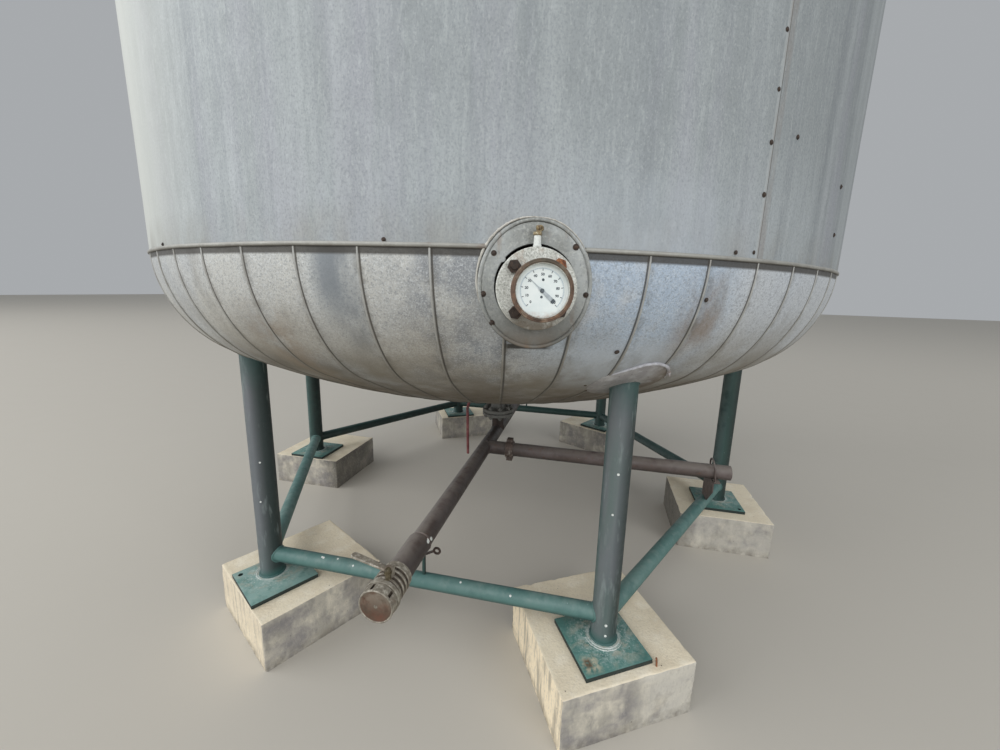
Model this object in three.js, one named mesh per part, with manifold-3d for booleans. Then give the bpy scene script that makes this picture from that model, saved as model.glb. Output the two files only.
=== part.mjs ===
// Insulated vertical storage tank on six tubular legs, with its bottom pipework.
// Millimetres, +Z up, origin on the floor under the tank's axis.
// An azimuth is counted from -Y towards +X.

import * as THREE from "three";
import { mergeVertices } from "three/addons/utils/BufferGeometryUtils.js";
import Module from "manifold-3d";

const wasm = await Module();
wasm.setup();

const degree = Math.PI / 180;
const gap = 0.3; // left between pieces that touch

// Shell: vessel plate, insulation and sheet cladding are one wall
const cladRadius = 1625;
const wall = 100;
const shellFoot = 1521; // height of the joint between the bottom dish and the straight shell
const courseHeight = 1000;
const courseCount = 3;
const crownRadius = 3120;
const knuckleRadius = 416;
const goreCount = 60; // cladding gores around each dish
const firstSeam = 1.6; // azimuth of a gore seam
const beadRadius = 6;

// Supports
const legCircle = 1378;
const legAzimuths = [-30, 30, 90, 150, 210, 270];
const legDiameter = 88.9;
const legWall = 4;
const legSides = 24;
const braceDiameter = 60.3;
const braceWall = 3;
const braceHeight = 310;
const plinthHeight = 205;
const plateSide = 250;
const plateThickness = 17;
// Each plinth and plate stands off its leg's centre: [outwards, anticlockwise], and each
// plinth was cast in its own form, turned a little: [side, degrees]
const plinthShifts = [[-113, 12], [-80, 17], [0, 25], [98, 100], [105, -63], [-3, -115]];
const plinthForms = [[487, 1.3], [500, -1], [487, 0], [487, 0], [487, 0], [487, 0]];
const plateShifts = [[0, 31], [10, -14], [-6, -18], [8, 8], [0, -6], [-8, 0]];

// Instrument port through the cladding, at the joint between dish and shell
const portAzimuth = 16;
const portHeight = 1441;
const portHoleRadius = 100;
const portRecess = 60;
const collarHalfWidth = 130;
const collarHalfHeight = 145;
const collarProud = 4;
const portPipeRadius = 38.05;
const portFlangeDrop = 9; // the flange hangs below the middle of its hole
const portFlangeRadius = 90;
const portFlangeThickness = 18;
const portFlangeFace = 30; // in front of the cladding
const gaugeDrop = 12;
const gaugeFront = 122; // bezel's front, in front of the cladding
const gaugeRadius = 63;
const caseRadius = 57.5;
const dialRadius = 53.5;

// Bottom outlet and pipework
const outletRadius = 44.45;
const outletFlangeRadius = 100;
const flangeThickness = 22;
const flangeJoint = 644;
const pipeRadius = 38.05;
const pipeWall = 3.6;
const pipeHeight = 518;
const headerSkew = 0.8; // degrees that the header is laid off the Y axis
const headerEnd = 1500; // where the header's tails stop inside their caps
const tailStart = 1256; // where each end's wider tail is welded on
const tailRadius = 43;
const tailShift = [-3.5, -3]; // the tail's axis off the header's: [sideways, up]
const capEnd = 1566;
const capRadius = 54.5;
const ribRadius = 52.5;
const branchOffset = -313;
const couplingAt = 150;
const branchBracketAt = 1245;
const branchEnd = 1330;

// Welds a geometry's vertices, drops its folded triangles and turns its faces outwards.
function closed(geometry) {
  const bare = geometry.clone();
  bare.deleteAttribute("normal");
  bare.deleteAttribute("uv");
  const welded = mergeVertices(bare);
  const corner = (i) => new THREE.Vector3().fromBufferAttribute(welded.attributes.position, i);
  const source = welded.index.array;
  const kept = [];
  let volume = 0;
  for (let i = 0; i < source.length; i += 3) {
    const [a, b, c] = [source[i], source[i + 1], source[i + 2]];
    if (a === b || b === c || c === a) continue;
    kept.push(a, b, c);
    volume += corner(a).dot(corner(b).cross(corner(c)));
  }
  if (volume < 0) kept.reverse();
  welded.setIndex(kept);
  return welded;
}

function solid(geometry) {
  const shape = closed(geometry);
  return new wasm.Manifold(new wasm.Mesh({
    numProp: 3,
    vertProperties: new Float32Array(shape.attributes.position.array),
    triVerts: new Uint32Array(shape.index.array),
  }));
}

function surface(body) {
  const mesh = body.getMesh();
  const geometry = new THREE.BufferGeometry();
  geometry.setAttribute("position", new THREE.BufferAttribute(mesh.vertProperties, 3));
  geometry.setIndex(new THREE.BufferAttribute(mesh.triVerts, 1));
  return geometry;
}

function cut(body, ...tools) {
  return tools.reduce((left, tool) => left.subtract(tool), body);
}

function join(body, ...others) {
  return others.reduce((left, other) => left.add(other), body);
}

// Turns a profile of [radius, height] pairs about the vertical axis.
function turned(profile, sides, startAzimuth = 0) {
  const points = profile.map(([radius, height]) => new THREE.Vector2(radius, height));
  const geometry = new THREE.LatheGeometry(points, sides, startAzimuth * degree);
  return geometry.rotateX(Math.PI / 2);
}

// The same about an axis along Y, for [radius, distance from the tank's axis] pairs.
function turnedOutwards(profile, sides) {
  const points = profile.map(([radius, distance]) => new THREE.Vector2(radius, -distance));
  return new THREE.LatheGeometry(points, sides);
}

function ring(inner, outer, low, high) {
  return [[inner, low], [outer, low], [outer, high], [inner, high], [inner, low]];
}

function upright(radius, low, high, sides) {
  return turned([[0, low], [radius, low], [radius, high], [0, high]], sides);
}

function along(axis, radius, from, to, sides) {
  const geometry = new THREE.CylinderGeometry(radius, radius, to - from, sides);
  geometry.translate(0, (from + to) / 2, 0);
  return axis === "x" ? geometry.rotateZ(-Math.PI / 2) : geometry;
}

function block(width, depth, height, x, y, z) {
  return new THREE.BoxGeometry(width, depth, height).translate(x, y, z);
}

const paint = {
  cladding: { color: 0xa3a8a7, roughness: 0.55, metalness: 0.7 },
  dishCladding: { color: 0x8f8e88, roughness: 0.6, metalness: 0.6 },
  trim: { color: 0xb5b1a6, roughness: 0.55, metalness: 0.6 },
  frame: { color: 0x4a6c6d, roughness: 0.6, metalness: 0.1 },
  concrete: { color: 0xc2b8a4, roughness: 0.95, metalness: 0 },
  pipe: { color: 0x62524d, roughness: 0.8, metalness: 0.2 },
  coupling: { color: 0x7f6c60, roughness: 0.7, metalness: 0.4 },
  flange: { color: 0xb9b7ae, roughness: 0.6, metalness: 0.3 },
  bezel: { color: 0x7a5844, roughness: 0.75, metalness: 0.3 },
  dial: { color: 0xe8ecea, roughness: 0.4, metalness: 0 },
  pointer: { color: 0x4b5054, roughness: 0.5, metalness: 0.2 },
  brass: { color: 0xb09a6c, roughness: 0.5, metalness: 0.8 },
  primer: { color: 0x8a4a4e, roughness: 0.7, metalness: 0.1 },
};
const finishes = Object.fromEntries(
  Object.entries(paint).map(([name, values]) => [name, new THREE.MeshStandardMaterial(values)]),
);

const tank = new THREE.Group();

function place(name, shape, finish, parent = tank) {
  const geometry = shape instanceof THREE.BufferGeometry ? closed(shape) : surface(shape);
  const mesh = new THREE.Mesh(geometry, finishes[finish]);
  mesh.name = name;
  parent.add(mesh);
  return mesh;
}

function azimuthGroup(azimuth) {
  const group = new THREE.Group();
  group.rotation.z = azimuth * degree;
  tank.add(group);
  return group;
}

// Half of a torispherical dish from rim to axis, as [radius, depth below the rim],
// with its surface pushed inwards by inset.
function dishArc(inset, knuckleSteps, crownSteps) {
  const knuckleCentre = cladRadius - knuckleRadius;
  const reach = crownRadius - knuckleRadius;
  const crownRise = Math.sqrt(reach ** 2 - knuckleCentre ** 2);
  const turnover = Math.asin(knuckleCentre / reach);
  const arc = [];
  for (let i = 0; i <= knuckleSteps; i += 1) {
    const angle = (i / knuckleSteps) * (Math.PI / 2 - turnover);
    const radius = knuckleRadius - inset;
    arc.push([knuckleCentre + radius * Math.cos(angle), radius * Math.sin(angle)]);
  }
  for (let i = 1; i <= crownSteps; i += 1) {
    const angle = turnover * (1 - i / crownSteps);
    const radius = crownRadius - inset;
    arc.push([radius * Math.sin(angle), radius * Math.cos(angle) - crownRise]);
  }
  return arc;
}

const outerKnuckleSteps = 7;
const outerCrownSteps = 4;

// The closed outside of the shell and its bottom dish, grown by offset.
function tankEnvelope(offset) {
  const dish = dishArc(-offset, outerKnuckleSteps, outerCrownSteps);
  const profile = [[0, shellFoot + courseHeight], [cladRadius + offset, shellFoot + courseHeight]];
  dish.forEach(([radius, depth]) => profile.push([radius, shellFoot - depth]));
  return solid(turned(profile, goreCount, firstSeam));
}

function dishProfile() {
  const outer = dishArc(0, outerKnuckleSteps, outerCrownSteps);
  const inner = dishArc(wall, 4, 3);
  return [...inner.reverse(), ...outer];
}

// A solid in the port's own directions, turned to where the port is.
function atPort(geometry) {
  return solid(geometry.translate(0, 0, portHeight).rotateZ(portAzimuth * degree));
}

function collarOutline(growth, from, to) {
  const geometry = along("y", 1, -to, -from, 40);
  return geometry.scale(collarHalfWidth + growth, 1, collarHalfHeight + growth);
}

const envelope = tankEnvelope(gap);
const portHole = atPort(along("y", portHoleRadius, -cladRadius - 60, -cladRadius + portRecess, 40));

function buildShell() {
  for (let i = 0; i < courseCount; i += 1) {
    const low = shellFoot + i * courseHeight + (i ? gap : 0);
    const high = shellFoot + (i + 1) * courseHeight;
    const course = turned(ring(cladRadius - wall, cladRadius, low, high), goreCount, firstSeam);
    place(`shell_course_${i + 1}`, i ? course : cut(solid(course), portHole), "cladding");
  }
  const shellTop = shellFoot + courseCount * courseHeight;
  const low = dishProfile().map(([radius, depth]) => [radius, shellFoot - gap - depth]);
  const high = dishProfile().map(([radius, depth]) => [radius, shellTop + gap + depth]);
  const bottom = solid(turned(low, goreCount, firstSeam));
  place("bottom_dish", cut(bottom, portHole), "dishCladding");
  place("top_dish", turned(high, goreCount, firstSeam), "dishCladding");
  const collar = atPort(collarOutline(gap, cladRadius - 80, cladRadius + 60));
  place("lower_bead", cut(solid(bead(shellFoot)), collar), "trim");
  place("upper_bead", bead(shellTop), "trim");
}

// A swaged half-round band around the cladding.
function bead(height) {
  const inner = cladRadius + gap;
  const profile = [];
  for (let i = 0; i <= 4; i += 1) {
    const angle = (i / 4 - 0.5) * Math.PI;
    profile.push([inner + beadRadius * Math.cos(angle), height + beadRadius * Math.sin(angle)]);
  }
  profile.push(profile[0]);
  return turned(profile, goreCount, firstSeam);
}

function buildSupports() {
  const plateTop = plinthHeight + plateThickness + 2 * gap;
  const tube = ring(legDiameter / 2 - legWall, legDiameter / 2, plateTop, shellFoot);
  const leg = cut(solid(turned(tube, legSides).translate(0, -legCircle, 0)), envelope);
  const legShape = surface(leg);
  const braceShape = surface(brace());
  legAzimuths.forEach((azimuth, i) => {
    const group = azimuthGroup(azimuth);
    place(`leg_${i + 1}`, legShape, "frame", group);
    const plate = place(`base_plate_${i + 1}`,
      new THREE.BoxGeometry(plateSide, plateSide, plateThickness), "frame", group);
    const [plateOut, plateAcross] = plateShifts[i];
    plate.position.set(plateAcross, -legCircle - plateOut, plateTop - gap - plateThickness / 2);
    const [plinthSide, plinthTurn] = plinthForms[i];
    const plinth = place(`plinth_${i + 1}`,
      new THREE.BoxGeometry(plinthSide, plinthSide, plinthHeight), "concrete", group);
    const [plinthOut, plinthAcross] = plinthShifts[i];
    plinth.position.set(plinthAcross, -legCircle - plinthOut, plinthHeight / 2);
    plinth.rotation.z = plinthTurn * degree;
    place(`brace_${i + 1}`, braceShape, "frame", azimuthGroup(azimuth + 30));
  });
}

// A tube between two legs, coped to them, lying along X in front of the axis.
function brace() {
  const half = legCircle / 2;
  const line = -legCircle * Math.cos(30 * degree);
  const outer = solid(along("x", braceDiameter / 2, -half, half, 16));
  const inner = solid(along("x", braceDiameter / 2 - braceWall, -half - 1, half + 1, 16));
  const tube = cut(outer, inner).translate([0, line, braceHeight]);
  const saddle = upright(legDiameter / 2 + gap, 0, 2 * braceHeight, legSides);
  const ends = [-half, half].map((x) => solid(saddle.clone().translate(x, line, 0)));
  return cut(tube, ...ends);
}

function buildPort() {
  const face = cladRadius + portFlangeFace;
  const back = face - portFlangeThickness;
  const collar = atPort(collarOutline(0, cladRadius - 75, cladRadius + collarProud));
  place("port_collar", cut(collar, envelope, portHole), "trim");

  const flangeGroup = azimuthGroup(portAzimuth);
  flangeGroup.position.z = portHeight - portFlangeDrop;
  const stubFoot = cladRadius - portRecess + gap;
  place("port_flange", turnedOutwards([
    [0, stubFoot], [portPipeRadius, stubFoot], [portPipeRadius, back],
    [portFlangeRadius, back], [portFlangeRadius, face], [0, face],
  ], 40), "flange", flangeGroup);
  place("port_vent_plug", ventPlug(face - portFlangeThickness / 2), "brass", flangeGroup);

  const group = azimuthGroup(portAzimuth);
  group.position.z = portHeight - gaugeDrop;
  const front = cladRadius + gaugeFront;
  const seat = front - 16; // where the dial lies inside the case
  const caseInside = dialRadius + 1;
  place("gauge_case", turnedOutwards([
    [0, face + gap], [22, face + gap], [22, face + 15], [14, face + 15], [14, front - 48],
    [48, front - 44], [caseRadius, front - 38], [caseRadius, front - 10], [caseInside, front - 10],
    [caseInside, seat], [0, seat],
  ], 32), "bezel", group);
  place("gauge_bezel", turnedOutwards([
    [caseRadius + gap, front - 26], [gaugeRadius, front - 26], [gaugeRadius, front - 4],
    [gaugeRadius - 4, front], [dialRadius, front], [dialRadius, front - 10 + gap],
    [caseRadius + gap, front - 10 + gap], [caseRadius + gap, front - 26],
  ], 32), "bezel", group);
  const dialFront = seat + gap + 2;
  const dialEdge = caseInside - 0.5;
  place("gauge_dial", turnedOutwards([
    [0, seat + gap], [dialEdge, seat + gap], [dialEdge, dialFront], [0, dialFront],
  ], 32), "dial", group);
  const pointer = place("gauge_pointer", pointerShape(), "pointer", group);
  pointer.position.y = -dialFront - gap;
}

// Flat needle with a broad tail, pointing up to the left as seen from outside.
function pointerShape() {
  const outline = [
    [0, 38], [2, 8], [4.5, 0], [3, -8], [2.2, -18], [4, -31], [-4, -31], [-2.2, -18],
    [-3, -8], [-4.5, 0], [-2, 8],
  ];
  const shape = new THREE.Shape(outline.map(([x, y]) => new THREE.Vector2(x, y)));
  const needle = new THREE.ExtrudeGeometry(shape, { depth: 1, bevelEnabled: false });
  return needle.rotateZ(48 * degree).rotateX(Math.PI / 2);
}

// Small threaded plug with a nut and a knob, standing on the flange's rim.
function ventPlug(distance) {
  const foot = portFlangeRadius + gap;
  const plug = turned([
    [0, foot], [9.5, foot], [9.5, foot + 19], [12.5, foot + 19], [12.5, foot + 29],
    [8, foot + 31], [8, foot + 47], [5, foot + 50], [0, foot + 50],
  ], 12);
  return plug.translate(0, -distance, 0);
}

function buildOutlet() {
  const bore = outletRadius - pipeWall;
  const flangeFoot = flangeJoint + gap;
  const neckRoot = flangeFoot + flangeThickness;
  const neck = solid(turned([
    [bore, flangeFoot], [outletFlangeRadius, flangeFoot], [outletFlangeRadius, neckRoot],
    [outletRadius + 8, neckRoot], [outletRadius, neckRoot + 22], [outletRadius, shellFoot - 500],
    [bore, shellFoot - 500], [bore, flangeFoot],
  ], 32));
  place("outlet_neck", cut(neck, envelope), "pipe");

  const header = headerGroup();
  const dropFoot = pipeHeight;
  const drop = solid(turned([
    [pipeRadius - pipeWall, dropFoot], [pipeRadius, dropFoot],
    [pipeRadius, flangeJoint - flangeThickness], [outletFlangeRadius, flangeJoint - flangeThickness],
    [outletFlangeRadius, flangeJoint], [pipeRadius - pipeWall, flangeJoint],
    [pipeRadius - pipeWall, dropFoot],
  ], 32));
  const headerSpace = along("y", pipeRadius + gap, -headerEnd, headerEnd, legSides);
  place("drop_pipe", cut(drop, solid(headerSpace.translate(0, 0, pipeHeight))), "pipe", header);

  const main = solid(turnedOutwards(
    ring(pipeRadius - pipeWall, pipeRadius, -tailStart - 5, tailStart + 5), legSides));
  const tail = turnedOutwards([
    [pipeRadius - pipeWall, tailStart], [tailRadius, tailStart], [tailRadius, headerEnd],
    [tailRadius - pipeWall, headerEnd], [tailRadius - pipeWall, tailStart + 10],
    [pipeRadius - pipeWall, tailStart + 10], [pipeRadius - pipeWall, tailStart],
  ], legSides);
  const [sideways, up] = tailShift;
  const frontTail = solid(tail.clone().translate(sideways, 0, up));
  const rearTail = solid(tail.translate(sideways, 0, up).rotateZ(Math.PI));
  place("header_pipe", join(main, frontTail, rearTail), "pipe", header).position.z = pipeHeight;
  ["front", "rear"].forEach((end, i) => {
    const side = new THREE.Group();
    side.rotation.z = i * Math.PI;
    side.position.z = pipeHeight;
    header.add(side);
    place(`${end}_pipe_bracket`, headerBracket(), "frame", side);
    const cap = new THREE.Group();
    cap.position.set(sideways, 0, up);
    side.add(cap);
    place(`${end}_cap`, endCap(), "coupling", cap);
    place(`${end}_cap_lever`, capLever(), "coupling", cap);
  });
}

function headerGroup() {
  const group = new THREE.Group();
  group.rotation.z = headerSkew * degree;
  tank.add(group);
  return group;
}

// Clamped blank cap: ribbed sleeve, clamping ring, and a slotted cup with a round face.
function endCap() {
  const inside = tailRadius + gap;
  const back = capEnd - 141;
  const profile = [[0, headerEnd + gap], [inside, headerEnd + gap], [inside, back], [49, back]];
  const ribs = [24, 43, 62, 81];
  ribs.forEach((at) => {
    profile.push([48, back + at - 7], [ribRadius, back + at - 4]);
    profile.push([ribRadius, back + at + 4], [48, back + at + 7]);
  });
  profile.push([48, capEnd - 48], [56.5, capEnd - 48], [56.5, capEnd - 34], [51, capEnd - 34]);
  profile.push([51, capEnd - 30], [capRadius, capEnd - 30], [capRadius, capEnd - 3]);
  profile.push([capRadius - 3, capEnd], [0, capEnd]);
  const slots = [15, 60, 135, 195, 255, 315].map((angle) => {
    const slot = block(9, 22, 20, 0, -(capEnd - 19), capRadius + 5);
    return solid(slot.rotateY(angle * degree));
  });
  return cut(solid(turnedOutwards(profile, legSides)), ...slots);
}

// Flat clamp lever with a round end, swung to the left from a lug on the last rib.
function capLever() {
  const ringTop = ribRadius + gap;
  const lugHeight = 30;
  const distance = capEnd - 70;
  const lug = solid(block(24, 22, lugHeight, 12, -distance, ringTop + lugHeight / 2));
  const shape = new THREE.Shape();
  shape.moveTo(0, 9);
  shape.lineTo(-112, 9);
  shape.absarc(-112, 0, 9, Math.PI / 2, 1.5 * Math.PI, false);
  shape.lineTo(0, -9);
  const bar = new THREE.ExtrudeGeometry(shape, { depth: 7, bevelEnabled: false, curveSegments: 6 });
  bar.rotateY(5 * degree).rotateZ(-7 * degree).translate(2, -distance - 2, ringTop + lugHeight - 13);
  return join(lug, solid(bar));
}

// Slim post from the brace up to the pipe, with an arm and an eye at its side.
function headerBracket() {
  const reach = legCircle * Math.cos(30 * degree) / Math.cos(headerSkew * degree);
  const braceLine = solid(along("x", braceDiameter / 2 + gap, -100, 100, 16)
    .translate(0, -reach, braceHeight - pipeHeight));
  const pipeSpace = solid(along("y", pipeRadius + gap, -tailStart, tailStart, legSides));
  const drop = pipeHeight - braceHeight;
  const post = solid(block(11, 12, drop, -13, -reach, -drop / 2));
  return cut(join(post, ...postEye(reach)), pipeSpace, braceLine);
}

function postEye(reach) {
  const shape = new THREE.Shape();
  shape.absarc(0, 0, 16, 0, 2 * Math.PI);
  const hole = new THREE.Path();
  hole.absarc(0, 0, 7, 0, 2 * Math.PI, true);
  shape.holes.push(hole);
  const eye = new THREE.ExtrudeGeometry(shape, { depth: 10, bevelEnabled: false, curveSegments: 8 });
  eye.rotateX(Math.PI / 2).translate(40, -reach + 5, -71);
  const arm = along("x", 5, -15, 33, 8).rotateY(-30 * degree).translate(0, -reach, -88);
  return [solid(eye), solid(arm)];
}

function buildBranch() {
  const branch = new THREE.Group();
  const headerAt = -Math.tan(headerSkew * degree) * branchOffset;
  branch.position.set(headerAt, branchOffset, pipeHeight);
  tank.add(branch);
  const start = couplingAt - headerAt;
  const stub = tubeAlongX(0, start - gap / 2);
  const headerSpace = along("y", pipeRadius + gap, -200, 200, legSides).rotateZ(headerSkew * degree);
  place("branch_stub", cut(stub, solid(headerSpace)), "pipe", branch);
  place("branch_coupling", grooveCoupling().translate([start, 0, 0]), "coupling", branch);
  place("branch_pipe", tubeAlongX(start + gap / 2, branchEnd - headerAt), "pipe", branch);
  place("branch_pipe_bracket", branchBracket(branchBracketAt - headerAt), "pipe", branch);
}

function tubeAlongX(from, to) {
  const outer = solid(along("x", pipeRadius, from, to, legSides));
  return cut(outer, solid(along("x", pipeRadius - pipeWall, from - 1, to + 1, legSides)));
}

// Two-part housing around the butted pipe ends, bolted above and below.
function grooveCoupling() {
  const half = 23;
  const profile = [
    [pipeRadius + gap, -half], [46, -half], [54, -half + 8], [54, half - 8], [46, half],
    [pipeRadius + gap, half], [pipeRadius + gap, -half],
  ];
  const housing = solid(turnedOutwards(profile, legSides).rotateZ(Math.PI / 2));
  const lugs = [-1, 1].map((side) => solid(block(34, 40, 18, 0, 0, side * 56)));
  const bore = solid(along("x", pipeRadius + gap, -60, 60, legSides));
  return cut(join(housing, ...lugs), bore);
}

// Gusset plate standing on the right-hand brace, with a flange under the branch and a
// U-bolt one size too big around it.
function branchBracket(at) {
  const drop = pipeHeight - braceHeight;
  const top = -pipeRadius - gap;
  const thickness = 7;
  const shape = new THREE.Shape();
  [[-52, top], [110, top], [110, -drop], [30, -drop], [-52, -95]].forEach(([y, z], i) => {
    if (i) shape.lineTo(y, z);
    else shape.moveTo(y, z);
  });
  const plate = new THREE.ExtrudeGeometry(shape, { depth: thickness, bevelEnabled: false });
  plate.rotateX(Math.PI / 2).rotateZ(Math.PI / 2).translate(at - thickness, 0, 0);
  const flange = block(36, 150, thickness, at + 12, 23, top - thickness / 2);
  const braceTube = along("x", braceDiameter / 2 + gap, -200, 200, 16).rotateZ(60 * degree);
  const crossing = legCircle + branchOffset * Math.tan(30 * degree);
  const braceSpace = solid(braceTube.translate(crossing - (branchBracketAt - at), 0, -drop));
  return cut(join(solid(plate), solid(flange), uBolt(at + 6, top)), braceSpace);
}

function uBolt(at, foot) {
  const half = 46;
  const rod = 4.5;
  const shoulder = 22;
  const path = new THREE.CurvePath();
  const stops = [[half, foot - 2], [half, shoulder]];
  for (let i = 1; i <= 8; i += 1) {
    const angle = (i / 8) * Math.PI;
    stops.push([half * Math.cos(angle), shoulder + half * Math.sin(angle)]);
  }
  stops.push([-half, foot - 2]);
  const points = stops.map(([y, z]) => new THREE.Vector3(at - 0.12 * (z - foot), y, z));
  points.slice(1).forEach((point, i) => path.add(new THREE.LineCurve3(points[i], point)));
  const section = new THREE.Shape();
  section.absarc(0, 0, rod, 0, 2 * Math.PI);
  return solid(new THREE.ExtrudeGeometry(section, {
    steps: 20, curveSegments: 4, bevelEnabled: false, extrudePath: path,
  }));
}

// Thin open-ended tube that hangs from the bottom dish, bent near its top.
function buildDrainTube() {
  const radius = 8.6;
  const path = new THREE.CurvePath();
  const stops = [[-110, 840], [-160, 712], [-166, 683], [-165, 660], [-160, 385]];
  const points = stops.map(([x, z]) => new THREE.Vector3(x, -139, z));
  points.slice(1).forEach((point, i) => path.add(new THREE.LineCurve3(points[i], point)));
  const section = new THREE.Shape();
  section.absarc(0, 0, radius, 0, 2 * Math.PI);
  const tube = new THREE.ExtrudeGeometry(section, {
    steps: 12, curveSegments: 5, bevelEnabled: false, extrudePath: path,
  });
  place("drain_tube", cut(solid(tube), envelope), "primer");
}

// Raised patch of cladding around the head of the front right leg.
function buildLegBoot() {
  const thickness = 10;
  const patch = upright(1, 0, shellFoot, 32);
  patch.scale(125, 105, 1).translate(38, -legCircle + 12, 0);
  const legSpace = upright(legDiameter / 2 + gap, 0, shellFoot, legSides).translate(0, -legCircle, 0);
  const boot = cut(solid(patch).intersect(tankEnvelope(thickness)), envelope, solid(legSpace));
  place("leg_boot", boot, "dishCladding", azimuthGroup(legAzimuths[1]));
}

buildShell();
buildSupports();
buildPort();
buildOutlet();
buildBranch();
buildDrainTube();
buildLegBoot();

export default tank;
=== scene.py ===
# Clad storage tank on six legs, with its thermometer and bottom pipework.
# Sizes in the dictionaries are millimetres and degrees. An azimuth is counted from -Y towards +X.
import math
import random

import bmesh
import bpy
from mathutils import Matrix, Vector, noise


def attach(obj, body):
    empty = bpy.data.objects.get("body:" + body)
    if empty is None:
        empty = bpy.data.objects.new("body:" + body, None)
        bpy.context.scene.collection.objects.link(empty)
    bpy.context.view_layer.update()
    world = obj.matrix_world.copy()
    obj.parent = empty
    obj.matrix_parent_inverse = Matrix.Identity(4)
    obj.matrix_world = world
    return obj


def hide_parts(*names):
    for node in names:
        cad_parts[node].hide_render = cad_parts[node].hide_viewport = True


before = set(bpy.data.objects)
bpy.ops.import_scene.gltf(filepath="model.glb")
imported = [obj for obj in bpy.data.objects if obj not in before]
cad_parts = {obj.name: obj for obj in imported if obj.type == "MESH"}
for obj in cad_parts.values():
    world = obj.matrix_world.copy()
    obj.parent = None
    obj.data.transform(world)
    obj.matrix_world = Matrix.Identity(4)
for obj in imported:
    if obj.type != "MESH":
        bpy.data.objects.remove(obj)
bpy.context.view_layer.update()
mm = 0.001

tank = {
    "radius": 1625, "wall": 100, "foot": 1521, "course": 1000, "courses": 3,
    "crown": 3120, "knuckle": 416, "gores": 60, "firstSeam": 1.6, "gap": 0.3,
    "legCircle": 1378, "legRadius": 44.45, "braceRadius": 30.15, "braceHeight": 310,
    "pipeRadius": 38.05, "pipeHeight": 518, "skew": 0.8, "firstLap": 37.3,
}
legAzimuths = [-30, 30, 90, 150, 210, 270]
turns = [math.tau * i / 64 for i in range(64)]


# node and mesh helpers
def linear(code):
    channels = [int(code[i:i + 2], 16) / 255 for i in (0, 2, 4)]
    return tuple(c / 12.92 if c <= 0.04045 else ((c + 0.055) / 1.055) ** 2.4 for c in channels) + (1.0,)


def add(tree, kind, inputs=None, **settings):  # a node given as an input stands for its first output
    node = tree.nodes.new(kind)
    for name, value in settings.items():
        setattr(node, name, value)
    for key, given in (inputs or {}).items():
        for value in given if isinstance(given, list) else [given]:
            value = value.outputs[0] if isinstance(value, bpy.types.Node) else value
            if isinstance(value, bpy.types.NodeSocket):
                tree.links.new(value, node.inputs[key])
            else:
                node.inputs[key].default_value = value
    return node


def polar(radius, azimuth, height=0):
    angle = math.radians(azimuth)
    return radius * math.sin(angle), -radius * math.cos(angle), height


def numbered(rings, size):  # point numbers of rings that follow each other, each closed on its first point
    return [[row * size + k % size for k in range(size + 1)] for row in range(rings)]


def spanned(rings, loop=False, flip=False):  # faces between neighbouring rings of point numbers
    faces = []
    for low, high in zip(rings, rings[1:] + rings[:1] if loop else rings[1:]):
        for k in range(len(low) - 1):
            second, last = (high[k], low[k + 1]) if flip else (low[k + 1], high[k])
            corners = list(dict.fromkeys((low[k], second, high[k + 1], last)))
            if len(corners) > 2:
                faces.append(corners)
    return faces


def turned(profile, sides=48):  # profile of (radius, height) about Z
    points, rings = [], []
    for radius, height in profile:
        count = sides if radius else 1
        rings.append([len(points) + i % count for i in range(sides + 1)])
        points += [polar(radius, i * 360 / sides, height) for i in range(count)]
    return points, spanned(rings, profile[0][0] and profile[-1][0])


def rod(radius, low, high, steps, bore=0):  # profile of a straight bar or tube in equal steps
    heights = [low + (high - low) * i / steps for i in range(steps + 1)]
    return [(bore, low)] + [(radius, height) for height in heights] + [(bore, high)]


def raised(base, *profile):  # heights counted from a base
    return [(radius, base + height) for radius, height in profile]


def swept(path, radius, sides=12, loop=False, up=None):  # round bar along a path
    path = [Vector(p) for p in path]
    count = len(path)
    radii = radius if isinstance(radius, list) else [radius] * count
    points, normal, last = [], None, None
    for i, point in enumerate(path):
        before = path[i - 1] if i or loop else point
        after = path[(i + 1) % count] if i < count - 1 or loop else point
        tangent = (after - before).normalized()
        if up is not None:
            normal = (Vector(up) - tangent * tangent.dot(Vector(up))).normalized()
        elif last is None:
            normal = tangent.orthogonal().normalized()
        else:
            normal = last.rotation_difference(tangent) @ normal
        last = tangent
        side = tangent.cross(normal)
        for k in range(sides):
            angle = math.tau * k / sides
            points.append(tuple(point + (normal * math.cos(angle) + side * math.sin(angle)) * radii[i]))
    rings = numbered(count, sides)
    return points, spanned(rings, loop) + ([] if loop else [rings[0][:-1], rings[-1][:-1]])


def rounded(bm, bevel, segments):  # rounds the sharp edges and gives points and faces
    bmesh.ops.recalc_face_normals(bm, faces=bm.faces)
    edges = [e for e in bm.edges if len(e.link_faces) == 2 and e.calc_face_angle(0) > math.radians(30)]
    bmesh.ops.bevel(bm, geom=edges, offset=bevel, segments=segments, affect="EDGES", profile=0.5)
    bm.verts.index_update()
    points = [tuple(v.co) for v in bm.verts]
    faces = [[v.index for v in f.verts] for f in bm.faces]
    bm.free()
    return points, faces


def block(size, centre, bevel):
    bm = bmesh.new()
    bmesh.ops.create_cube(bm, size=1)
    for v in bm.verts:
        v.co = Vector(c * s + m for c, s, m in zip(v.co, size, centre))
    return rounded(bm, bevel, 2)


def cutPlate(outline, low, high, bevel):  # outline of (x, y), between two heights
    bm = bmesh.new()
    rings = [[bm.verts.new((x, y, z)) for x, y in outline] for z in (low, high)]
    for ring in rings:
        bm.faces.new(ring)
    for i in range(len(outline)):
        j = (i + 1) % len(outline)
        bm.faces.new((rings[0][i], rings[0][j], rings[1][j], rings[1][i]))
    return rounded(bm, bevel, 1)


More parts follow.
